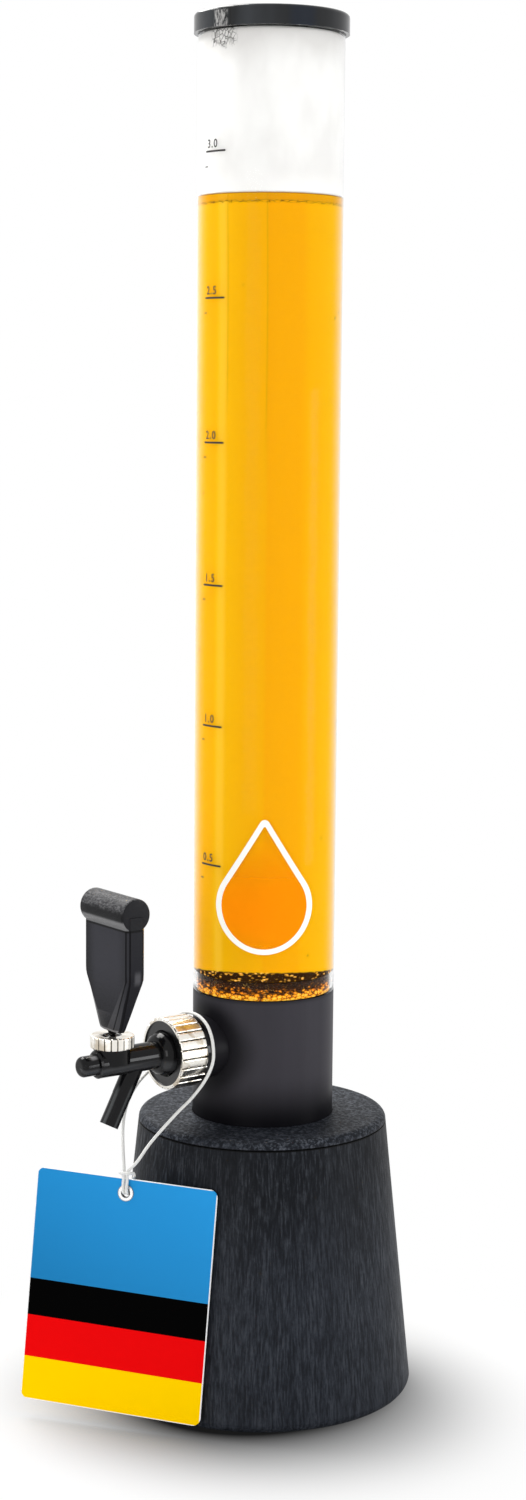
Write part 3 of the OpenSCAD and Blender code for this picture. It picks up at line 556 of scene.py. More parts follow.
def beer_finish():
    """Golden beer with a painted glow: slow upright bands from yellow to orange, partly random and
    partly painted shading of the light through the column by the angle round the tower, with a
    painted pale highlight streak and a painted dark streak, each with a thin painted dark line; a
    darker head line with flat bubbles under the foam, bubbles that stand on the spigot's rim with
    painted glints at their middles, and a few specks."""
    f = Finish("golden_beer")
    turn = f.around()
    sway = turn + f.noise(90.0, 1.0, where=f.p * (0, 0, 1)) * 0.06
    bands = f.noise(16.0, 2.0, squeeze=(1, 1, 0.02))
    # partly painted shade: deeper orange bands set by the angle round the tower
    deep = f.spread(f.wave((turn - 0.35) * 2.0) + bands * 0.7, -0.6, 1.5) * 0.7
    deep = deep + f.between(sway, (0.16, 0.05), (-1.2, -0.7)) * 0.6
    deep = deep + f.between(sway, (0.94, 0.99), (1.60, 1.40)) * 0.45
    tone = f.mix(deep, paint("beer"), paint("beer_deep_and_shade"))
    # painted shade: a dark upright streak
    tone = f.mix(f.between(sway, (0.925, 0.95), (1.0, 0.955)) * 0.35, tone,
                 (0.80, 0.30, 0.002))
    # painted highlight: a pale upright streak
    tone = f.mix(f.between(sway, (0.12, 0.22), (0.36, 0.26)) * 0.2, tone,
                 (1.0, 0.68, 0.10))
    top = sizes().beer_top / MM
    # painted shade: thin dark upright lines along the two streaks
    painted_dark_lines = f.both(f.near(sway - 0.93, 0.011, 0.003) * f.spread(f.z, top - 200.0, top - 120.0),
                   f.near(sway - 0.33, 0.012, 0.003) * f.spread(f.z, top - 150.0, top - 100.0))
    tone = f.mix(painted_dark_lines * 0.4, tone, (0.38, 0.22, 0.003))
    head = f.spread(f.z, top - 5.4, top - 4.9)
    froth = f.cells(2.4, "DISTANCE_TO_EDGE", squeeze=(0.6, 0.6, 2.2))
    low_edge = f.between(f.z, (top - 6.6, top - 5.4), (top - 3.8, top - 4.9))
    tone = f.mix(head * 0.55, tone, (0.60, 0.25, 0.006))
    tone = f.mix(low_edge * f.spread(froth, 0.10, 0.02), tone, (0.08, 0.03, 0.004))
    tone = f.mix(f.spread(f.z, top - 0.9, top - 0.1) * 0.7, tone, (0.16, 0.07, 0.01))
    facing = f.wave(turn - math.radians(VIEW_ANGLE) + math.pi / 2)
    rise = TUBE_FOOT + 12.0 + f.both(facing, f.z * 0.0) * 6.0
    rough = f.noise(3.0, 3.0, 0.7)
    stand = f.spread(f.z + rough * 1.6, rise + 1.4, rise + 0.4)
    flat = f.cells(3.6, squeeze=(1, 1, 2.2), where=f.p + f.noise(2.0, 2.0) * 1.2)
    gold = f.spread(flat, 0.46, 0.26) * f.spread(f.noise(6.0, 2.0), 0.40, 0.50)
    tone = f.mix(stand, tone, f.mix(gold, (0.030, 0.013, 0.004), (0.80, 0.36, 0.03)))
    # painted glints at the middles of the bubbles
    tone = f.mix(stand * f.spread(flat, 0.20, 0.10) * gold, tone, (0.98, 0.72, 0.26))
    speck = f.spread(f.cells(24.0), 0.052, 0.036)
    tone = f.mix(speck * 0.7, tone, (0.22, 0.10, 0.006))
    # painted glow: the beer emits its own colour
    return f.done(Base_Color=tone, Roughness=0.4, Specular_IOR_Level=0.0,
                  Emission_Color=tone, Emission_Strength=0.11)


def foam_finish():
    """White beer foam with a painted glow: fine bubbles, warm grey upright clouds of painted
    shading, a painted shade under the lid, and a painted reflection drawn as a few flat grey
    bubbles under the lid on the tap's side."""
    f = Finish("white_foam")
    top = sizes().foam_top / MM
    bubbles = f.cells(0.8, "SMOOTH_F1")
    clouds = f.noise(30.0, 3.0, 0.5, squeeze=(1, 1, 0.5))
    # painted shade: grey clouds, and a shade under the lid
    shade = f.spread(clouds, 0.38, 0.66) * 0.45 + f.spread(f.z, top - 26.0, top) * 0.9
    tone = f.mix(shade * f.spread(f.z, top - 97.0, top - 82.0), paint("foam"),
                 (0.69, 0.675, 0.66))
    turn = f.around()
    # painted reflection under the lid on the tap's side, drawn as flat grey bubbles
    near = f.between(turn, (-0.10, 0.0), (0.46, 0.34)) * f.spread(
        f.z + f.noise(6.0, 2.0) * 9.0, top - 7.5, top - 4.5)
    edge = f.cells(2.6, "DISTANCE_TO_EDGE", squeeze=(1, 1, 0.8), where=f.p + f.noise(2.5) * 2.0)
    tone = f.mix(near * f.spread(edge, 0.10, 0.03), tone, (0.11, 0.105, 0.10))
    tone = f.mix(near * f.spread(f.noise(4.0, 2.0), 0.45, 0.62) * 0.6, tone, (0.32, 0.31, 0.30))
    # painted glow: the foam emits its own colour
    return f.done(Base_Color=tone, Roughness=0.8, Specular_IOR_Level=0.1,
                  Emission_Color=tone, Emission_Strength=0.12,
                  Normal=f.relief(bubbles + clouds * 0.6, 0.15, 0.25))


def print_finish(name, tone, wear):
    """Screen-printed ink with pinholes and soft edges of wear, and a painted glow."""
    f = Finish(name)
    holes = f.spread(f.noise(0.5, 3.0, 0.8), 0.64, 0.72)
    thin = f.noise(6.0, 2.0)
    # painted glow: the ink emits its own colour
    return f.done(Base_Color=f.mix(thin * 0.2, tone, tuple(min(1, c * 1.4 + 0.02) for c in tone)),
                  Roughness=0.45, Alpha=1.0 - holes * wear, Emission_Color=tone,
                  Emission_Strength=0.1)


def warm_ink():
    """Clear warm ink, deeper towards the middle of the drop's bowl, with a painted glow."""
    f = Finish("warm_ink")
    cloud = f.noise(9.0, 2.0)
    low = sizes().drop_low / MM
    deep = f.between(f.z, (low + 85.0, low + 25.0), (low - 25.0, low + 25.0))
    # painted glow: the ink emits a warm orange
    return f.done(Base_Color=f.mix(deep, (0.93, 0.42, 0.004), (0.96, 0.30, 0.003)),
                  Roughness=0.6, Specular_IOR_Level=0.0, Alpha=deep * 0.62 + cloud * 0.05,
                  Emission_Color=(0.96, 0.31, 0.003), Emission_Strength=0.18)


def tag_finish():
    """Printed card: a sky field with a soft gradient, then black, red and gold stripes, and a
    thin white cut edge."""
    f = Finish("striped_card")
    across, up = f.on_tag()
    fibre = f.noise(0.5, 3.0, 0.7, squeeze=(1, 1, 0.4))
    low, high = -137.0, 9.0
    tall = high - low
    slope = f.spread(across * 0.4 + up, -90.0, 30.0, smooth=False)
    tone = f.mix(slope, paint("sky", 0.72), paint("sky", 1.18))
    for share, stripe in ((0.48, (0.0015, 0.0015, 0.0015)), (0.638, paint("red")),
                          (0.817, paint("gold"))):
        tone = f.mix(up < high - share * tall, tone, stripe)
    side = f.size_of(across)
    rim = f.both(f.spread(side, 59.45, 59.65), f.both(f.spread(up, high - 0.55, high - 0.35),
                 f.spread(up, low + 0.55, low + 0.35)))
    tone = f.mix(rim, tone, (0.90, 0.90, 0.90))
    return f.done(Base_Color=tone, Roughness=f.spread(fibre, 0.2, 0.8, 0.42, 0.55),
                  Specular_IOR_Level=0.0,
                  Normal=f.relief(fibre, 0.02, 0.3))


def eyelet_finish():
    """Nickel eyelet: bright rolled flange with fine scratches, a painted shade at its outer edge,
    and a barrel darkened by painted shade inside the hole."""
    f = Finish("nickel_eyelet")
    across, up = f.on_tag()
    off = (across * across + up * up) ** 0.5
    scratch = f.noise(0.4, 3.0, 0.7)
    tone = f.mix(scratch * 0.4, (0.78, 0.78, 0.78), (0.45, 0.45, 0.46))
    # painted shade: the barrel inside the hole is dark
    tone = f.mix(f.spread(off, 3.4, 2.7), tone, (0.02, 0.02, 0.022))
    # painted shade at the flange's outer edge
    tone = f.mix(f.spread(off, 4.5, 5.0) * 0.8, tone, (0.10, 0.10, 0.105))
    return f.done(Base_Color=tone, Metallic=0.75, Roughness=f.spread(scratch, 0.2, 0.8, 0.18, 0.34),
                  Normal=f.relief(scratch, 0.02, 0.3))


def cord_finish():
    """White braided elastic: crossed threads that follow the cord, and a little shading."""
    f = Finish("white_elastic_cord")
    uv = f.node("ShaderNodeUVMap", {"uv_map": "UVMap"}, {}, 0)
    split = f.node("ShaderNodeSeparateXYZ", {}, {0: uv}, None)
    u, v = (Link(f, split.outputs[i]) for i in (0, 1))
    left, right = f.wave(u * (6 * math.tau) + v * 9.0), f.wave(u * (6 * math.tau) - v * 9.0)
    weave = f.spread(left * right, -1.0, 1.0)
    tone = f.mix(weave, paint("cord", 0.72), paint("cord"))
    return f.done(Base_Color=tone, Roughness=0.6, Sheen_Weight=0.3,
                  Normal=f.relief(weave, 0.08, 0.6))


# --- Surfaces -------------------------------------------------------------------------------


def grid_faces(rows, columns, wrap_rows=False, wrap_columns=True):
    """Four-cornered faces over a grid of rows by columns of points, joined up where it wraps."""
    i = np.arange(rows if wrap_rows else rows - 1)[:, None]
    j = np.arange(columns if wrap_columns else columns - 1)[None, :]
    near, far = i * columns, ((i + 1) % rows) * columns
    here, there = j + 0 * i, (j + 1) % columns + 0 * i
    return np.stack([near + here, near + there, far + there, far + here], -1).reshape(-1, 4)


def put(name, points, faces, finish, body, slot, replaced=(), smooth=True, uv=None, angle=35.0):
    """Makes a piece of points in millimetres and faces, gives it its finish and its body."""
    mesh = bpy.data.meshes.new(name)
    mesh.from_pydata((np.asarray(points, float).reshape(-1, 3) * MM).tolist(), [],
                     [list(map(int, face)) for face in faces])
    if uv is not None:
        layer = mesh.uv_layers.new(name="UVMap")
        corner = np.zeros(len(mesh.loops), np.int32)
        mesh.loops.foreach_get("vertex_index", corner)
        layer.data.foreach_set("uv", np.asarray(uv, np.float32)[corner].ravel())
    shape = bmesh.new()
    shape.from_mesh(mesh)
    if uv is None:
        bmesh.ops.remove_doubles(shape, verts=shape.verts, dist=1e-7)
    bmesh.ops.recalc_face_normals(shape, faces=shape.faces)
    shape.to_mesh(mesh)
    shape.free()
    if smooth:
        mesh.shade_smooth()
        mesh.set_sharp_from_angle(angle=math.radians(angle))
    mesh.materials.append(finish)
    piece = bpy.data.objects.new(name, mesh)
    bpy.context.scene.collection.objects.link(piece)
    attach(piece, body)
    if replaced:
        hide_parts(*replaced)
    return piece


def full_turn(steps):
    """The angles of a full turn in steps."""
    return np.arange(steps) * math.tau / steps


def thicken(piece, depth):
    """Gives a flat print its thickness in millimetres, inwards from its own surface."""
    skin = piece.modifiers.new("ink", "SOLIDIFY")
    skin.thickness, skin.offset = depth * MM, -1.0


def lathe(radius, height, turns):
    """Rings of points about the upright axis. radius has one column, or one for each turn."""
    angle = full_turn(turns)
    return np.stack(np.broadcast_arrays(radius * np.cos(angle), radius * np.sin(angle), height), -1)


def rib_grooves(profile, radius, ribs, turns, width):
    """Share of a groove's depth at each point of a ribbed outer wall: where the angle is off
    from a rib's edge it is exp(-(off/width)^4), and it fades out on the way in from the wall."""
    off = (np.mod(full_turn(turns) * ribs / math.tau + 0.5, 1.0) - 0.5) * (
        math.tau * radius / ribs)
    on_wall = np.clip((profile[:, 0] - radius + 1.2) / 0.7, 0, 1)[:, None]
    return on_wall * np.exp(-(off / width) ** 4)


def closed_lathe(profile, turns):
    """A turned solid whose profile starts and ends on the axis, with its two poles as single
    points: rows of points between them and fans at the ends."""
    wall = np.asarray(profile[1:-1], float)
    rings = lathe(wall[:, :1], wall[:, 1:], turns)
    rows = len(rings)
    points = np.concatenate([rings.reshape(-1, 3), [[0, 0, profile[0][1]], [0, 0, profile[-1][1]]]])
    j = np.arange(turns)
    foot = np.stack([j, (j + 1) % turns, np.full(turns, rows * turns)], -1)
    head = np.stack([j, (j + 1) % turns, np.full(turns, rows * turns + 1)], -1)
    head[:, :2] += (rows - 1) * turns
    return points, grid_faces(rows, turns).tolist() + foot.tolist() + head.tolist()


def joined(shapes):
    """Puts several shapes, each its points and its faces, into one."""
    points, faces, count = [], [], 0
    for more, more_faces in shapes:
        faces += [[k + count for k in face] for face in more_faces]
        points.append(np.asarray(more, float).reshape(-1, 3))
        count += len(points[-1])
    return np.vstack(points), faces


def round_corner(centre, radius, start, end, steps=5):
    """Points on an arc round centre from angle start to end, in degrees."""
    turn = np.radians(np.linspace(start, end, steps))
    return np.stack([centre[0] + radius * np.cos(turn), centre[1] + radius * np.sin(turn)], -1)


def smooth_line(points, steps):
    """Catmull-Rom curve: between two points b and c with neighbours a and d it is half of
    2b + (c - a)t + (2a - 5b + 4c - d)t^2 + (3b - a - 3c + d)t^3."""
    p = np.asarray(points, float)
    a, b = np.vstack([p[:1], p[:-2]]), p[:-1]
    c, d = p[1:], np.vstack([p[2:], p[-1:]])
    t = (np.arange(steps) / steps)[None, :, None]
    a, b, c, d = (q[:, None] for q in (a, b, c, d))
    line = 0.5 * (2 * b + (c - a) * t + (2 * a - 5 * b + 4 * c - d) * t ** 2
                  + (3 * b - a - 3 * c + d) * t ** 3)
    return np.vstack([line.reshape(-1, 3), p[-1:]])


def tube_along(line, radius, sides, closed=False):
    """A round tube along a line: each ring stands square to the line, on two directions across
    it; returns its points, its faces and a UV of (share of the way round, millimetres along)."""
    ahead = (np.roll(line, -1, 0) - np.roll(line, 1, 0)) if closed else np.gradient(line, axis=0)
    ahead = ahead / np.linalg.norm(ahead, axis=1, keepdims=True)
    side = np.cross(ahead, (0.96, 0.2, 0.2))
    side = side / np.linalg.norm(side, axis=1, keepdims=True)
    other = np.cross(ahead, side)
    turn = full_turn(sides)
    ring = (np.cos(turn)[None, :, None] * side[:, None] + np.sin(turn)[None, :, None]
            * other[:, None])
    points = (line[:, None] + radius * ring).reshape(-1, 3)
    along = np.concatenate([[0], np.cumsum(np.linalg.norm(np.diff(line, axis=0), axis=1))])
    uv = np.stack(np.broadcast_arrays(np.arange(sides)[None, :] / sides, along[:, None]), -1)
    faces = grid_faces(len(line), sides, wrap_rows=closed).tolist()
    if not closed:
        faces += [list(range(sides))[::-1],
                  list(range((len(line) - 1) * sides, len(line) * sides))]
    return points, faces, uv.reshape(-1, 2)


def on_tube(arc, height, lift, middle=0.0):
    """Bends flat print onto the tube: arc millimetres round from the angle middle (radians from
    the tap's side), height up, lift off the wall."""
    radius = TUBE_HI.x / MM + lift
    turn = middle + np.asarray(arc, float) / radius
    return np.stack([radius * np.sin(turn), -radius * np.cos(turn),
                     np.broadcast_to(height, turn.shape)], -1)


# --- Operators ------------------------------------------------------------------------------


class TOWER_OT_camera(bpy.types.Operator):
    """Places the camera at the photograph's distance, height and tilt"""
    bl_idname = "tower.camera"
    bl_label = "Camera"

    def execute(self, context):
        turn, pitch, roll = math.radians(VIEW_ANGLE), CAMERA_PITCH, CAMERA_ROLL
        level = Vector((math.cos(turn), math.sin(turn), 0.0))
        back = Vector((math.sin(turn) * math.cos(pitch), -math.cos(turn) * math.cos(pitch),
                       math.sin(pitch)))
        up = back.cross(level)
        side = level * math.cos(roll) + up * math.sin(roll)
        up = up * math.cos(roll) - level * math.sin(roll)
        lens = bpy.data.cameras.new("camera")
        lens.sensor_width, lens.lens, lens.shift_x = 36.0, LENS, LENS_SHIFT
        camera = bpy.data.objects.new("camera", lens)
        context.scene.collection.objects.link(camera)
        camera.matrix_world = Matrix.Translation(
            (math.sin(turn) * CAMERA_DISTANCE, -math.cos(turn) * CAMERA_DISTANCE,
             CAMERA_HEIGHT)) @ Matrix((side, up, back)).transposed().to_4x4()
        context.scene.camera = camera
        return {"FINISHED"}


class TOWER_OT_cord(bpy.types.Operator):
    """Makes the elastic cord and its knot"""
    bl_idname = "tower.cord"
    bl_label = "Elastic cord"

    def execute(self, context):
        finish = cord_finish()
        line = smooth_line(CORD_ROUTE, 8)
        radius = sizes().cord_width / MM / 2
        points, faces, uv = tube_along(line, radius, 14)
        cord = put("elastic_cord", points, faces, finish, "tag", "white_elastic", ("tag_cord",),
                   uv=uv, angle=70)
        # the knot is a trefoil: x = sin t + 2 sin 2t, y = cos t - 2 cos 2t, z = -sin 3t
        t = full_turn(96)
        loop = 0.52 * np.stack([-1.2 * np.sin(3 * t), np.sin(t) + 2 * np.sin(2 * t),
                                np.cos(t) - 2 * np.cos(2 * t)], -1) + CORD_KNOT
        strands = [tube_along(loop, radius, 10, closed=True)]
        for side in (-1, 1):
            tail = smooth_line([CORD_KNOT, np.add(CORD_KNOT, (-1.5, 1.2, 1.5 * side)),
                                np.add(CORD_KNOT, (-3.0, 1.8, 3.6 * side))], 6)
            strands.append(tube_along(tail, radius, 10))
        points, faces = joined([strand[:2] for strand in strands])
        uv = np.vstack([strand[2] for strand in strands])
        knot = put("overhand_knot", points, faces, finish, "tag", "white_elastic",
                   ("cord_knot",), uv=uv, angle=70)
        return {"FINISHED"}


class TOWER_OT_beer(bpy.types.Operator):
    """Fills the tube with beer"""
    bl_idname = "tower.beer"
    bl_label = "Beer"

    def execute(self, context):
        wall, top = TUBE_HI.x / MM - BEER_INSET, sizes().beer_top / MM
        low = TUBE_FOOT
        profile = [(0, low - 12), (38.5, low - 12), (38.5, low + 11.1), (39.2, low + 11.3),
                   (wall - 0.5, low + 11.3), (wall, low + 11.7), (wall, top - 40), (wall, top),
                   (wall - 1.2, top), (0, top)]
        points, faces = closed_lathe(profile, 160)
        put("beer", points, faces, beer_finish(), "tower", "clear_acrylic")
        return {"FINISHED"}


class TOWER_OT_foam(bpy.types.Operator):
    """Lays the foam on the beer"""
    bl_idname = "tower.foam"
    bl_label = "Foam"

    def execute(self, context):
        wall = TUBE_HI.x / MM - BEER_INSET
        low, top = sizes().beer_top / MM + 0.1, sizes().foam_top / MM
        profile = [(0, low), (wall - 0.8, low), (wall, low + 0.8), (wall, top - 2),
                   *round_corner((wall - 2, top - 2), 2, 0, 90), (0, top + 1.0)]
        points, faces = closed_lathe(profile, 160)
        put("foam", points, faces, foam_finish(), "tower", "white_plastic")
        return {"FINISHED"}


class TOWER_OT_scale(bpy.types.Operator):
    """Prints the half-litre marks and their numbers on the tube"""
    bl_idname = "tower.scale"
    bl_label = "Scale marks"

    def execute(self, context):
        shapes = []
        start, end = math.radians(-7.0), math.radians(16.0)
        radius = TUBE_HI.x / MM
        for mark in range(6):
            height = (sizes().mark_low + sizes().mark_step * mark) / MM
            bars = [(start * radius, end * radius, height, 1.15),
                    (start * radius - 1.0, start * radius + 2.2, height - 9.0, 0.7)]
            for low, high, at, thick in bars:
                arc = np.linspace(low, high, 14)
                band = [on_tube(arc, at + thick * side, PRINT_LIFT) for side in (-0.5, 0.5)]
                shapes.append((band, grid_faces(2, len(arc), wrap_columns=False).tolist()))
            words = bpy.data.curves.new("scale_number", "FONT")
            words.body = f"{0.5 * (mark + 1):.1f}"
            words.size = sizes().number_height / MM * 1.55
            words.resolution_u, words.offset, words.space_character = 4, 0.10, 1.2
            text = bpy.data.objects.new("scale_number", words)
            context.scene.collection.objects.link(text)
            flat = text.evaluated_get(context.evaluated_depsgraph_get()).to_mesh()
            place = np.zeros(len(flat.vertices) * 3)
            flat.vertices.foreach_get("co", place)
            place = place.reshape(-1, 3)
            number = on_tube(place[:, 0] + start * radius + 1.6, place[:, 1] + height + 2.2,
                             PRINT_LIFT)
            shapes.append((number, [list(face.vertices) for face in flat.polygons]))
            bpy.data.objects.remove(text)
        piece = put("scale_marks", *joined(shapes),
                    print_finish("scale_ink", (0.008, 0.003, 0.002), 0.12), "tower",
                    "clear_acrylic", smooth=False)
        thicken(piece, 0.04)
        return {"FINISHED"}


class TOWER_OT_drop(bpy.types.Operator):
    """Prints the drop outline on the tube, with its faint warm field"""
    bl_idname = "tower.drop"
    bl_label = "Drop print"

    def execute(self, context):
        radius, tip, line = (v / MM for v in (sizes().drop_radius, sizes().drop_tip,
                                              sizes().drop_line))
        middle = sizes().drop_low / MM + radius
        facing = math.radians(VIEW_ANGLE)
        outer, inner = self.outline(radius, tip, 3.2), self.outline(
            radius - line, tip - line / (radius / tip), 0.9)
        band = np.stack([self.wrapped(outer, middle, facing, 0.07),
                         self.wrapped(inner, middle, facing, 0.07)])
        piece = put("drop_outline", band, grid_faces(2, len(outer)),
                    print_finish("cream_ink", (0.94, 0.93, 0.86), 0.15), "tower",
                    "white_plastic", smooth=False)
        thicken(piece, 0.05)
        share = np.linspace(0.0, 1.0, 14)[:, None, None]
        field = inner[None] * (0.03 + 0.985 * share * 0.985)
        rings = self.wrapped(field.reshape(-1, 2), middle, facing, 0.04).reshape(
            len(share), len(inner), 3)
        faces = grid_faces(len(share), len(inner)).tolist() + [list(range(len(inner)))]
        glow = put("drop_field", rings, faces, warm_ink(), "tower", "clear_acrylic",
                   smooth=False)
        thicken(glow, 0.02)
        return {"FINISHED"}

    def outline(self, radius, tip, soft):
        """Drop outline: a circle of radius about 0, two straight lines that leave it square to
        their radius and meet at height tip, and a small round at the tip of radius soft."""
        lean = math.asin(radius / tip)
        low = np.linspace(math.pi - lean, math.tau + lean, 60)
        bowl = radius * np.stack([np.cos(low), np.sin(low)], -1)
        tip_centre = np.array([0.0, tip - soft / math.sin(lean)])
        high = np.linspace(lean, math.pi - lean, 13)
        cap = tip_centre + soft * np.stack([np.cos(high), np.sin(high)], -1)
        side = np.linspace(0, 1, 26)[1:-1, None]
        rise = bowl[-1] * (1 - side) + cap[0] * side
        fall = cap[-1] * (1 - side) + bowl[0] * side
        return np.vstack([bowl, rise, cap, fall])

    def wrapped(self, flat, middle, facing, lift):
        """Puts the flat outline on the tube, so that from in front it keeps its shape."""
        radius = TUBE_HI.x / MM + lift
        turn = np.arcsin(np.clip(flat[:, 0] / radius, -1, 1))
        return on_tube(turn * radius, flat[:, 1] + middle, lift, facing)


class TOWER_OT_nut(bpy.types.Operator):
    """Makes the chromed union nut with rounded ribs and a black front recess"""
    bl_idname = "tower.union_nut"
    bl_label = "Union nut"

    def execute(self, context):
        back, front = -NUT_HI.y / MM, -NUT_LO.y / MM
        radius = NUT_HI.x / MM
        thread, lip, lip_at, hollow = 17.15, 14.4, front - 2.6, 20.3
        outer = [(20.6, back), *round_corner((radius - 0.8, back + 0.8), 0.8, -80, -5),
                 *[(radius, s) for s in np.linspace(back + 1.6, front - 2.0, 12)],
                 *round_corner((radius - 1.1, front - 1.1), 1.1, 5, 85, 7),
                 (hollow + 0.5, front), *round_corner((hollow + 0.35, front - 0.35), 0.35, 100,
                                                       175, 4),
                 (hollow, front - 0.75), (hollow - 0.25, front - 1.0), (lip + 0.3, front - 1.0),
                 (lip, front - 1.3), (lip, lip_at), (lip + 0.2, lip_at), (thread, lip_at),
                 (thread, back + 0.4), (thread + 0.4, back), (19.0, back)]
        profile = np.array(outer)
        turns, ribs = 24 * 20, 24
        depth = sizes().groove_depth / MM
        ring = profile[:, :1] - depth * rib_grooves(profile, radius, ribs, turns, 0.52)
        rings = lathe(ring, profile[:, 1:], turns)
        points = np.stack([rings[..., 0], -rings[..., 2], rings[..., 1] + TAP_Z / MM], -1)
        put("chrome_union_nut", points, grid_faces(len(profile), turns, wrap_rows=True),
            chrome_finish("chrome_nut", lambda f: (f.x, f.z - TAP_Z / MM), radius, ribs,
                          hollow + 0.15), "nut", "bright_chrome", ("union_nut",), angle=40)
        return {"FINISHED"}


class TOWER_OT_collar(bpy.types.Operator):
    """Makes the chromed collar under the handle, open for the lever"""
    bl_idname = "tower.lever_collar"
    bl_label = "Lever collar"

    def execute(self, context):
        low, high = COLLAR_LO.z / MM, COLLAR_HI.z / MM
        radius, pivot, ball = COLLAR_HI.x / MM, PIVOT_Z, 5.1
        shelf = pivot + 1.0
        neck_z = pivot + math.sqrt(ball ** 2 - 4.0 ** 2)
        bowl = [(math.sqrt(ball ** 2 - (z - pivot) ** 2), z)
                for z in np.linspace(shelf, neck_z, 6)]
        profile = np.array([
            (9.1, low + 0.2), (9.5, low), (radius - 1.2, low),
            *round_corner((radius - 0.7, low + 0.7), 0.7, -85, -5),
            *[(radius, z) for z in np.linspace(low + 1.4, high - 1.6, 7)],
            *round_corner((radius - 0.9, high - 0.9), 0.9, 5, 85, 6),
            (radius - 2.2, high), (5.3, high), (5.05, high - 0.05), (4.0, high - 1.1),
            *bowl[::-1], (9.1, shelf)])
        turns, ribs = 20 * 18, 20
        angle = full_turn(turns)
        # the slot is a box 5.2 wide that reaches 5.8 forwards from the axis
        ahead, aside = -np.sin(angle), np.abs(np.cos(angle))
        reach = np.where(ahead > 1e-3, np.minimum(5.8 / np.maximum(ahead, 1e-3),
                                                  2.6 / np.maximum(aside, 1e-3)), 0.0)
        inside = ((profile[:, 1] > shelf + 0.01) & (profile[:, 0] < 7.0))[:, None]
        ring = profile[:, :1] - 0.6 * rib_grooves(profile, radius, ribs, turns, 0.48)
        slot = reach[None] + (profile[:, :1] - 4.0).clip(0)
        ring = np.where(inside, np.maximum(ring, slot), ring)
        points = lathe(ring, profile[:, 1:], turns) + (0, LEVER_Y / MM, 0)
        put("chrome_lever_collar", points, grid_faces(len(profile), turns, wrap_rows=True),
            chrome_finish("chrome_collar", lambda f: (f.x, f.y - LEVER_Y / MM), radius, ribs,
                          5.9),
            "tower", "bright_chrome", ("lever_collar",), angle=40)
        return {"FINISHED"}


class TOWER_OT_handle(bpy.types.Operator):
    """Makes the tap handle: a tapered paddle with cut corners under a roll"""
    bl_idname = "tower.handle"
    bl_label = "Tap handle"

    def execute(self, context):
        foot, lever = HANDLE_LO.z / MM, LEVER_Y / MM
        axis_y = lever + ROLL_BACK
        wide, thick = HANDLE_HI.x / MM, 6.75
        roll_r = (HANDLE_HI.z / MM) - (foot + ROLL_UP)
        # rows of (height, half width, half thickness, corner cut across, corner cut deep, y)
        rows = np.array([
            (0.0, 10.6, 2.7, 5.2, 1.3, lever), (0.5, 11.3, 3.1, 5.6, 1.6, lever),
            (2.0, 12.1, 3.4, 5.8, 1.7, lever + 0.1), (12.0, 16.4, 4.4, 5.2, 2.0, lever + 0.6),
            (24.0, 20.9, 5.7, 3.7, 2.2, lever + 1.2), (32.0, 23.7, 6.5, 2.5, 2.1, lever + 1.6),
            (TAPER_UP, 24.2, 6.7, 2.2, 2.1, axis_y), (38.0, wide, thick, 2.1, 2.1, axis_y),
            (56.0, wide, thick, 2.1, 2.1, axis_y), (74.0, wide, thick, 2.1, 2.1, axis_y)])
        h, w, t, cut_x, cut_y, y = rows.T[:, :, None]
        corner = np.array([(-1, -1, 1, 0), (1, -1, 1, 0), (1, -1, 0, 1), (1, 1, 0, 1),
                           (1, 1, 1, 0), (-1, 1, 1, 0), (-1, 1, 0, 1), (-1, -1, 0, 1)]).T
        px = corner[0] * (w - cut_x * corner[2])
        py = y + corner[1] * (t - cut_y * corner[3])
        pz = np.broadcast_to(foot + h, px.shape)
        paddle = np.stack([px, py, pz], -1)
        faces = grid_faces(len(rows), 8).tolist() + [list(range(8)),
                                                     list(range(len(rows) * 8 - 8, len(rows) * 8))]
        profile = [(0, -wide + 0.6), (roll_r - 1.6, -wide + 0.6),
                   *round_corner((roll_r - 1.2, -wide + 1.8), 1.2, -90, 0, 6)[1:],
                   (roll_r, -wide + 10), (roll_r, wide - 10),
                   *round_corner((roll_r - 1.2, wide - 1.8), 1.2, 0, 90, 6)[:-1],
                   (roll_r - 1.6, wide - 0.6), (0, wide - 0.6)]
        roll, roll_faces = closed_lathe(profile, 96)
        roll = np.stack([roll[:, 2], roll[:, 0] + axis_y, roll[:, 1] + foot + ROLL_UP], -1)
        neck, neck_faces = closed_lathe([(0, foot + 1), (3.0, foot + 1), (3.0, foot),
                                         (2.4, foot - 1.2), (2.4, foot - 2.2), (0, foot - 2.2)],
                                        40)
        neck = neck + (0, lever, 0)
        shapes = [(paddle, faces), (roll, roll_faces), (neck, neck_faces)]
        piece = put("paddle_handle", *joined(shapes), handle_finish(), "handle",
                    "handle_black", ("tap_handle",), angle=28)
        edge = piece.modifiers.new("soft_edges", "BEVEL")
        edge.width, edge.segments, edge.limit_method = 0.7 * MM, 3, "ANGLE"
        edge.angle_limit = math.radians(24)
        edge.harden_normals = True
        return {"FINISHED"}


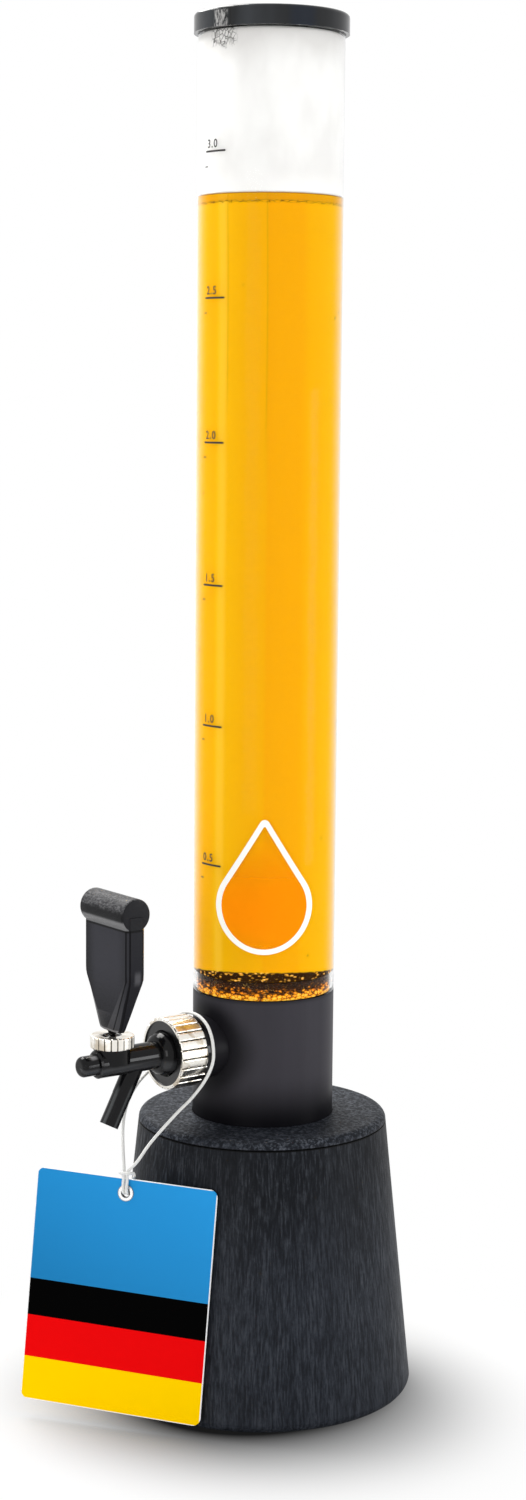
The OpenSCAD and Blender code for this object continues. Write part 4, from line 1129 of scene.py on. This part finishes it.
class TOWER_OT_finishes(bpy.types.Operator):
    """Gives every carried-over piece its finish"""
    bl_idname = "tower.finishes"
    bl_label = "Finishes"

    def execute(self, context):
        satin, bark, gloss = satin_finish(), base_finish(), gloss_finish()
        rubber = rubber_finish("black_rubber_skin", (0.012, 0.012, 0.013))
        steel = steel_finish("zinc_steel", (0.55, 0.56, 0.58), 0.28)
        chosen = {
            "base_shell": bark, "base_cap": bark,
            "base_plate": rubber_finish("base_plate_skin", (0.016, 0.016, 0.018)),
            "ballast_plate": iron_finish(), "base_pad": rubber, "base_screws": steel,
            "lower_sleeve": satin, "spigot_oring": satin, "clear_tube": acrylic_finish(),
            "lid": lid_finish(), "lid_oring": rubber, "tap_shank": gloss,
            "shank_gasket": rubber, "shank_washer": steel, "shank_locknut": steel,
            "tap_gasket": rubber,
            "slip_ring": rubber_finish("white_ring_skin", (0.75, 0.75, 0.72)),
            "tap_body": gloss, "barrel_plug": gloss, "shaft_oring": rubber,
            "valve_shaft": steel, "seat_washer": rubber, "washer_screw": steel,
            "lever_stem": gloss, "hang_tag": tag_finish(), "tag_eyelet": eyelet_finish()}
        for name, finish in chosen.items():
            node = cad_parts[name]
            node.data.materials.clear()
            node.data.materials.append(finish)
        return {"FINISHED"}


class TOWER_OT_stage(bpy.types.Operator):
    """Lays the pale floor and sets the soft studio light"""
    bl_idname = "tower.stage"
    bl_label = "Stage"

    def execute(self, context):
        scene = context.scene
        scene.view_settings.view_transform = "Standard"
        world = bpy.data.worlds.new("studio")
        world.use_nodes = True
        scene.world = world
        nodes, links = world.node_tree.nodes, world.node_tree.links
        nodes.clear()
        path = nodes.new("ShaderNodeLightPath")
        seen = None
        for ray in ("Is Camera Ray", "Is Glossy Ray", "Is Transmission Ray"):
            more = nodes.new("ShaderNodeMath")
            more.operation = "MAXIMUM"
            links.new(path.outputs[ray], more.inputs[0])
            if seen:
                links.new(seen.outputs[0], more.inputs[1])
            seen = more
        soft, white = nodes.new("ShaderNodeBackground"), nodes.new("ShaderNodeBackground")
        for sky, tone, power in ((soft, (0.93, 0.96, 1.0, 1.0), 0.22),
                                 (white, (1.0, 1.0, 1.0, 1.0), 1.0)):
            sky.inputs["Color"].default_value, sky.inputs["Strength"].default_value = tone, power
        blend, out = nodes.new("ShaderNodeMixShader"), nodes.new("ShaderNodeOutputWorld")
        links.new(seen.outputs[0], blend.inputs[0])
        links.new(soft.outputs[0], blend.inputs[1])
        links.new(white.outputs[0], blend.inputs[2])
        links.new(blend.outputs[0], out.inputs["Surface"])
        self.floor(context)
        self.lamp(context, "key", (-135, 1.1, 1.85), (1.5, 1.1), 54, (1.0, 0.99, 0.97))
        self.lamp(context, "fill", (-25, 2.1, 0.5), (0.9, 0.9), 9, (1.0, 1.0, 1.0))
        self.lamp(context, "side", (75, 1.7, 0.35), (0.6, 0.6), 9, (0.97, 0.985, 1.0))
        return {"FINISHED"}

    def lamp(self, context, name, where, size, power, colour):
        """A soft lamp; where is its angle from the camera's side in degrees, its distance and
        its height."""
        turn = math.radians(VIEW_ANGLE + where[0])
        place = (math.sin(turn) * where[1], -math.cos(turn) * where[1], where[2])
        light = bpy.data.lights.new(name, "AREA")
        light.shape, light.size, light.size_y = "RECTANGLE", *size
        light.energy, light.color = power, colour
        lamp = bpy.data.objects.new(name, light)
        context.scene.collection.objects.link(lamp)
        lamp.location = place
        lamp.rotation_mode = "QUATERNION"
        lamp.rotation_quaternion = (Vector(place) - Vector((0, 0, 0.42))).to_track_quat("Z", "Y")

    def floor(self, context):
        f = Finish("pale_floor")
        fine = f.noise(1.2, 3.0)
        seen = f.node("ShaderNodeLightPath", {}, {}, None)
        outputs = seen.outputs
        shown = f.both(f.both(Link(f, outputs["Is Camera Ray"]), Link(f, outputs["Is Glossy Ray"])),
                       Link(f, outputs["Is Transmission Ray"]))
        paper = f.node("ShaderNodeBsdfDiffuse", {}, {"Color": (0.80, 0.80, 0.80),
                       "Normal": f.relief(fine, 0.02, 0.1)}, 0)
        # painted contact shadow: the floor darkens round the base's foot, on top of the shadow the
        # lamps cast
        aside, ahead = f.x - 8.4, f.y + 18.8
        off = (aside * aside + ahead * ahead) ** 0.5
        shade = f.spread(off, 204.0, 74.0, smooth=False) ** 2.1
        tone = f.mix(shade, (1.0, 1.0, 1.0), (0.0, 0.0, 0.0))
        shaded = f.node("ShaderNodeBsdfDiffuse", {}, {"Color": f.mix(0.8, (0.0, 0.0, 0.0), tone)},
                        0)
        glow = f.node("ShaderNodeEmission", {}, {"Color": (1.0, 1.0, 1.0), "Strength": 0.02}, 0)
        white = f.node("ShaderNodeEmission", {}, {"Color": tone, "Strength": 1.0}, 0)
        near = f.node("ShaderNodeAddShader", {}, {0: shaded, 1: glow}, 0)
        whole = f.node("ShaderNodeMixShader", {}, {0: f.spread(off, 96.0, 250.0, 0.5, 1.0), 1: near,
                       2: white}, 0)
        mixed = f.node("ShaderNodeMixShader", {}, {0: shown, 1: paper, 2: whole}, 0)
        f.node("ShaderNodeOutputMaterial", {}, {"Surface": mixed}, None)
        mesh = bpy.data.meshes.new("floor")
        mesh.from_pydata([(-9, -9, 0), (9, -9, 0), (9, 9, 0), (-9, 9, 0)], [], [(0, 1, 2, 3)])
        mesh.materials.append(f.material)
        floor = bpy.data.objects.new("floor", mesh)
        context.scene.collection.objects.link(floor)


class TOWER_PT_panel(bpy.types.Panel):
    """Lists the pieces in the sidebar"""
    bl_idname = "TOWER_PT_panel"
    bl_label = "Drink Tower"
    bl_space_type = "VIEW_3D"
    bl_region_type = "UI"
    bl_category = "Drink Tower"

    def draw(self, context):
        layout = self.layout
        for group in (context.scene.tower_sizes, context.scene.tower_colours):
            box = layout.box()
            for name in group.__annotations__:
                box.prop(group, name)
        for operator in OPERATORS:
            layout.operator(operator.bl_idname)


OPERATORS = (TOWER_OT_camera, TOWER_OT_cord, TOWER_OT_beer, TOWER_OT_foam, TOWER_OT_scale,
             TOWER_OT_drop, TOWER_OT_nut, TOWER_OT_collar, TOWER_OT_handle, TOWER_OT_finishes,
             TOWER_OT_stage)
CLASSES = (TowerSizes, TowerColours, *OPERATORS, TOWER_PT_panel)


def register():
    for item in CLASSES:
        bpy.utils.register_class(item)
    bpy.types.Scene.tower_sizes = bpy.props.PointerProperty(type=TowerSizes)
    bpy.types.Scene.tower_colours = bpy.props.PointerProperty(type=TowerColours)


def unregister():
    del bpy.types.Scene.tower_colours, bpy.types.Scene.tower_sizes
    for item in reversed(CLASSES):
        bpy.utils.unregister_class(item)


def main():
    register()
    bpy.ops.tower.camera()
    bpy.ops.tower.cord()
    bpy.ops.tower.beer()
    bpy.ops.tower.foam()
    bpy.ops.tower.scale()
    bpy.ops.tower.drop()
    bpy.ops.tower.union_nut()
    bpy.ops.tower.lever_collar()
    bpy.ops.tower.handle()
    bpy.ops.tower.finishes()
    bpy.ops.tower.stage()


if __name__ == "__main__":
    main()
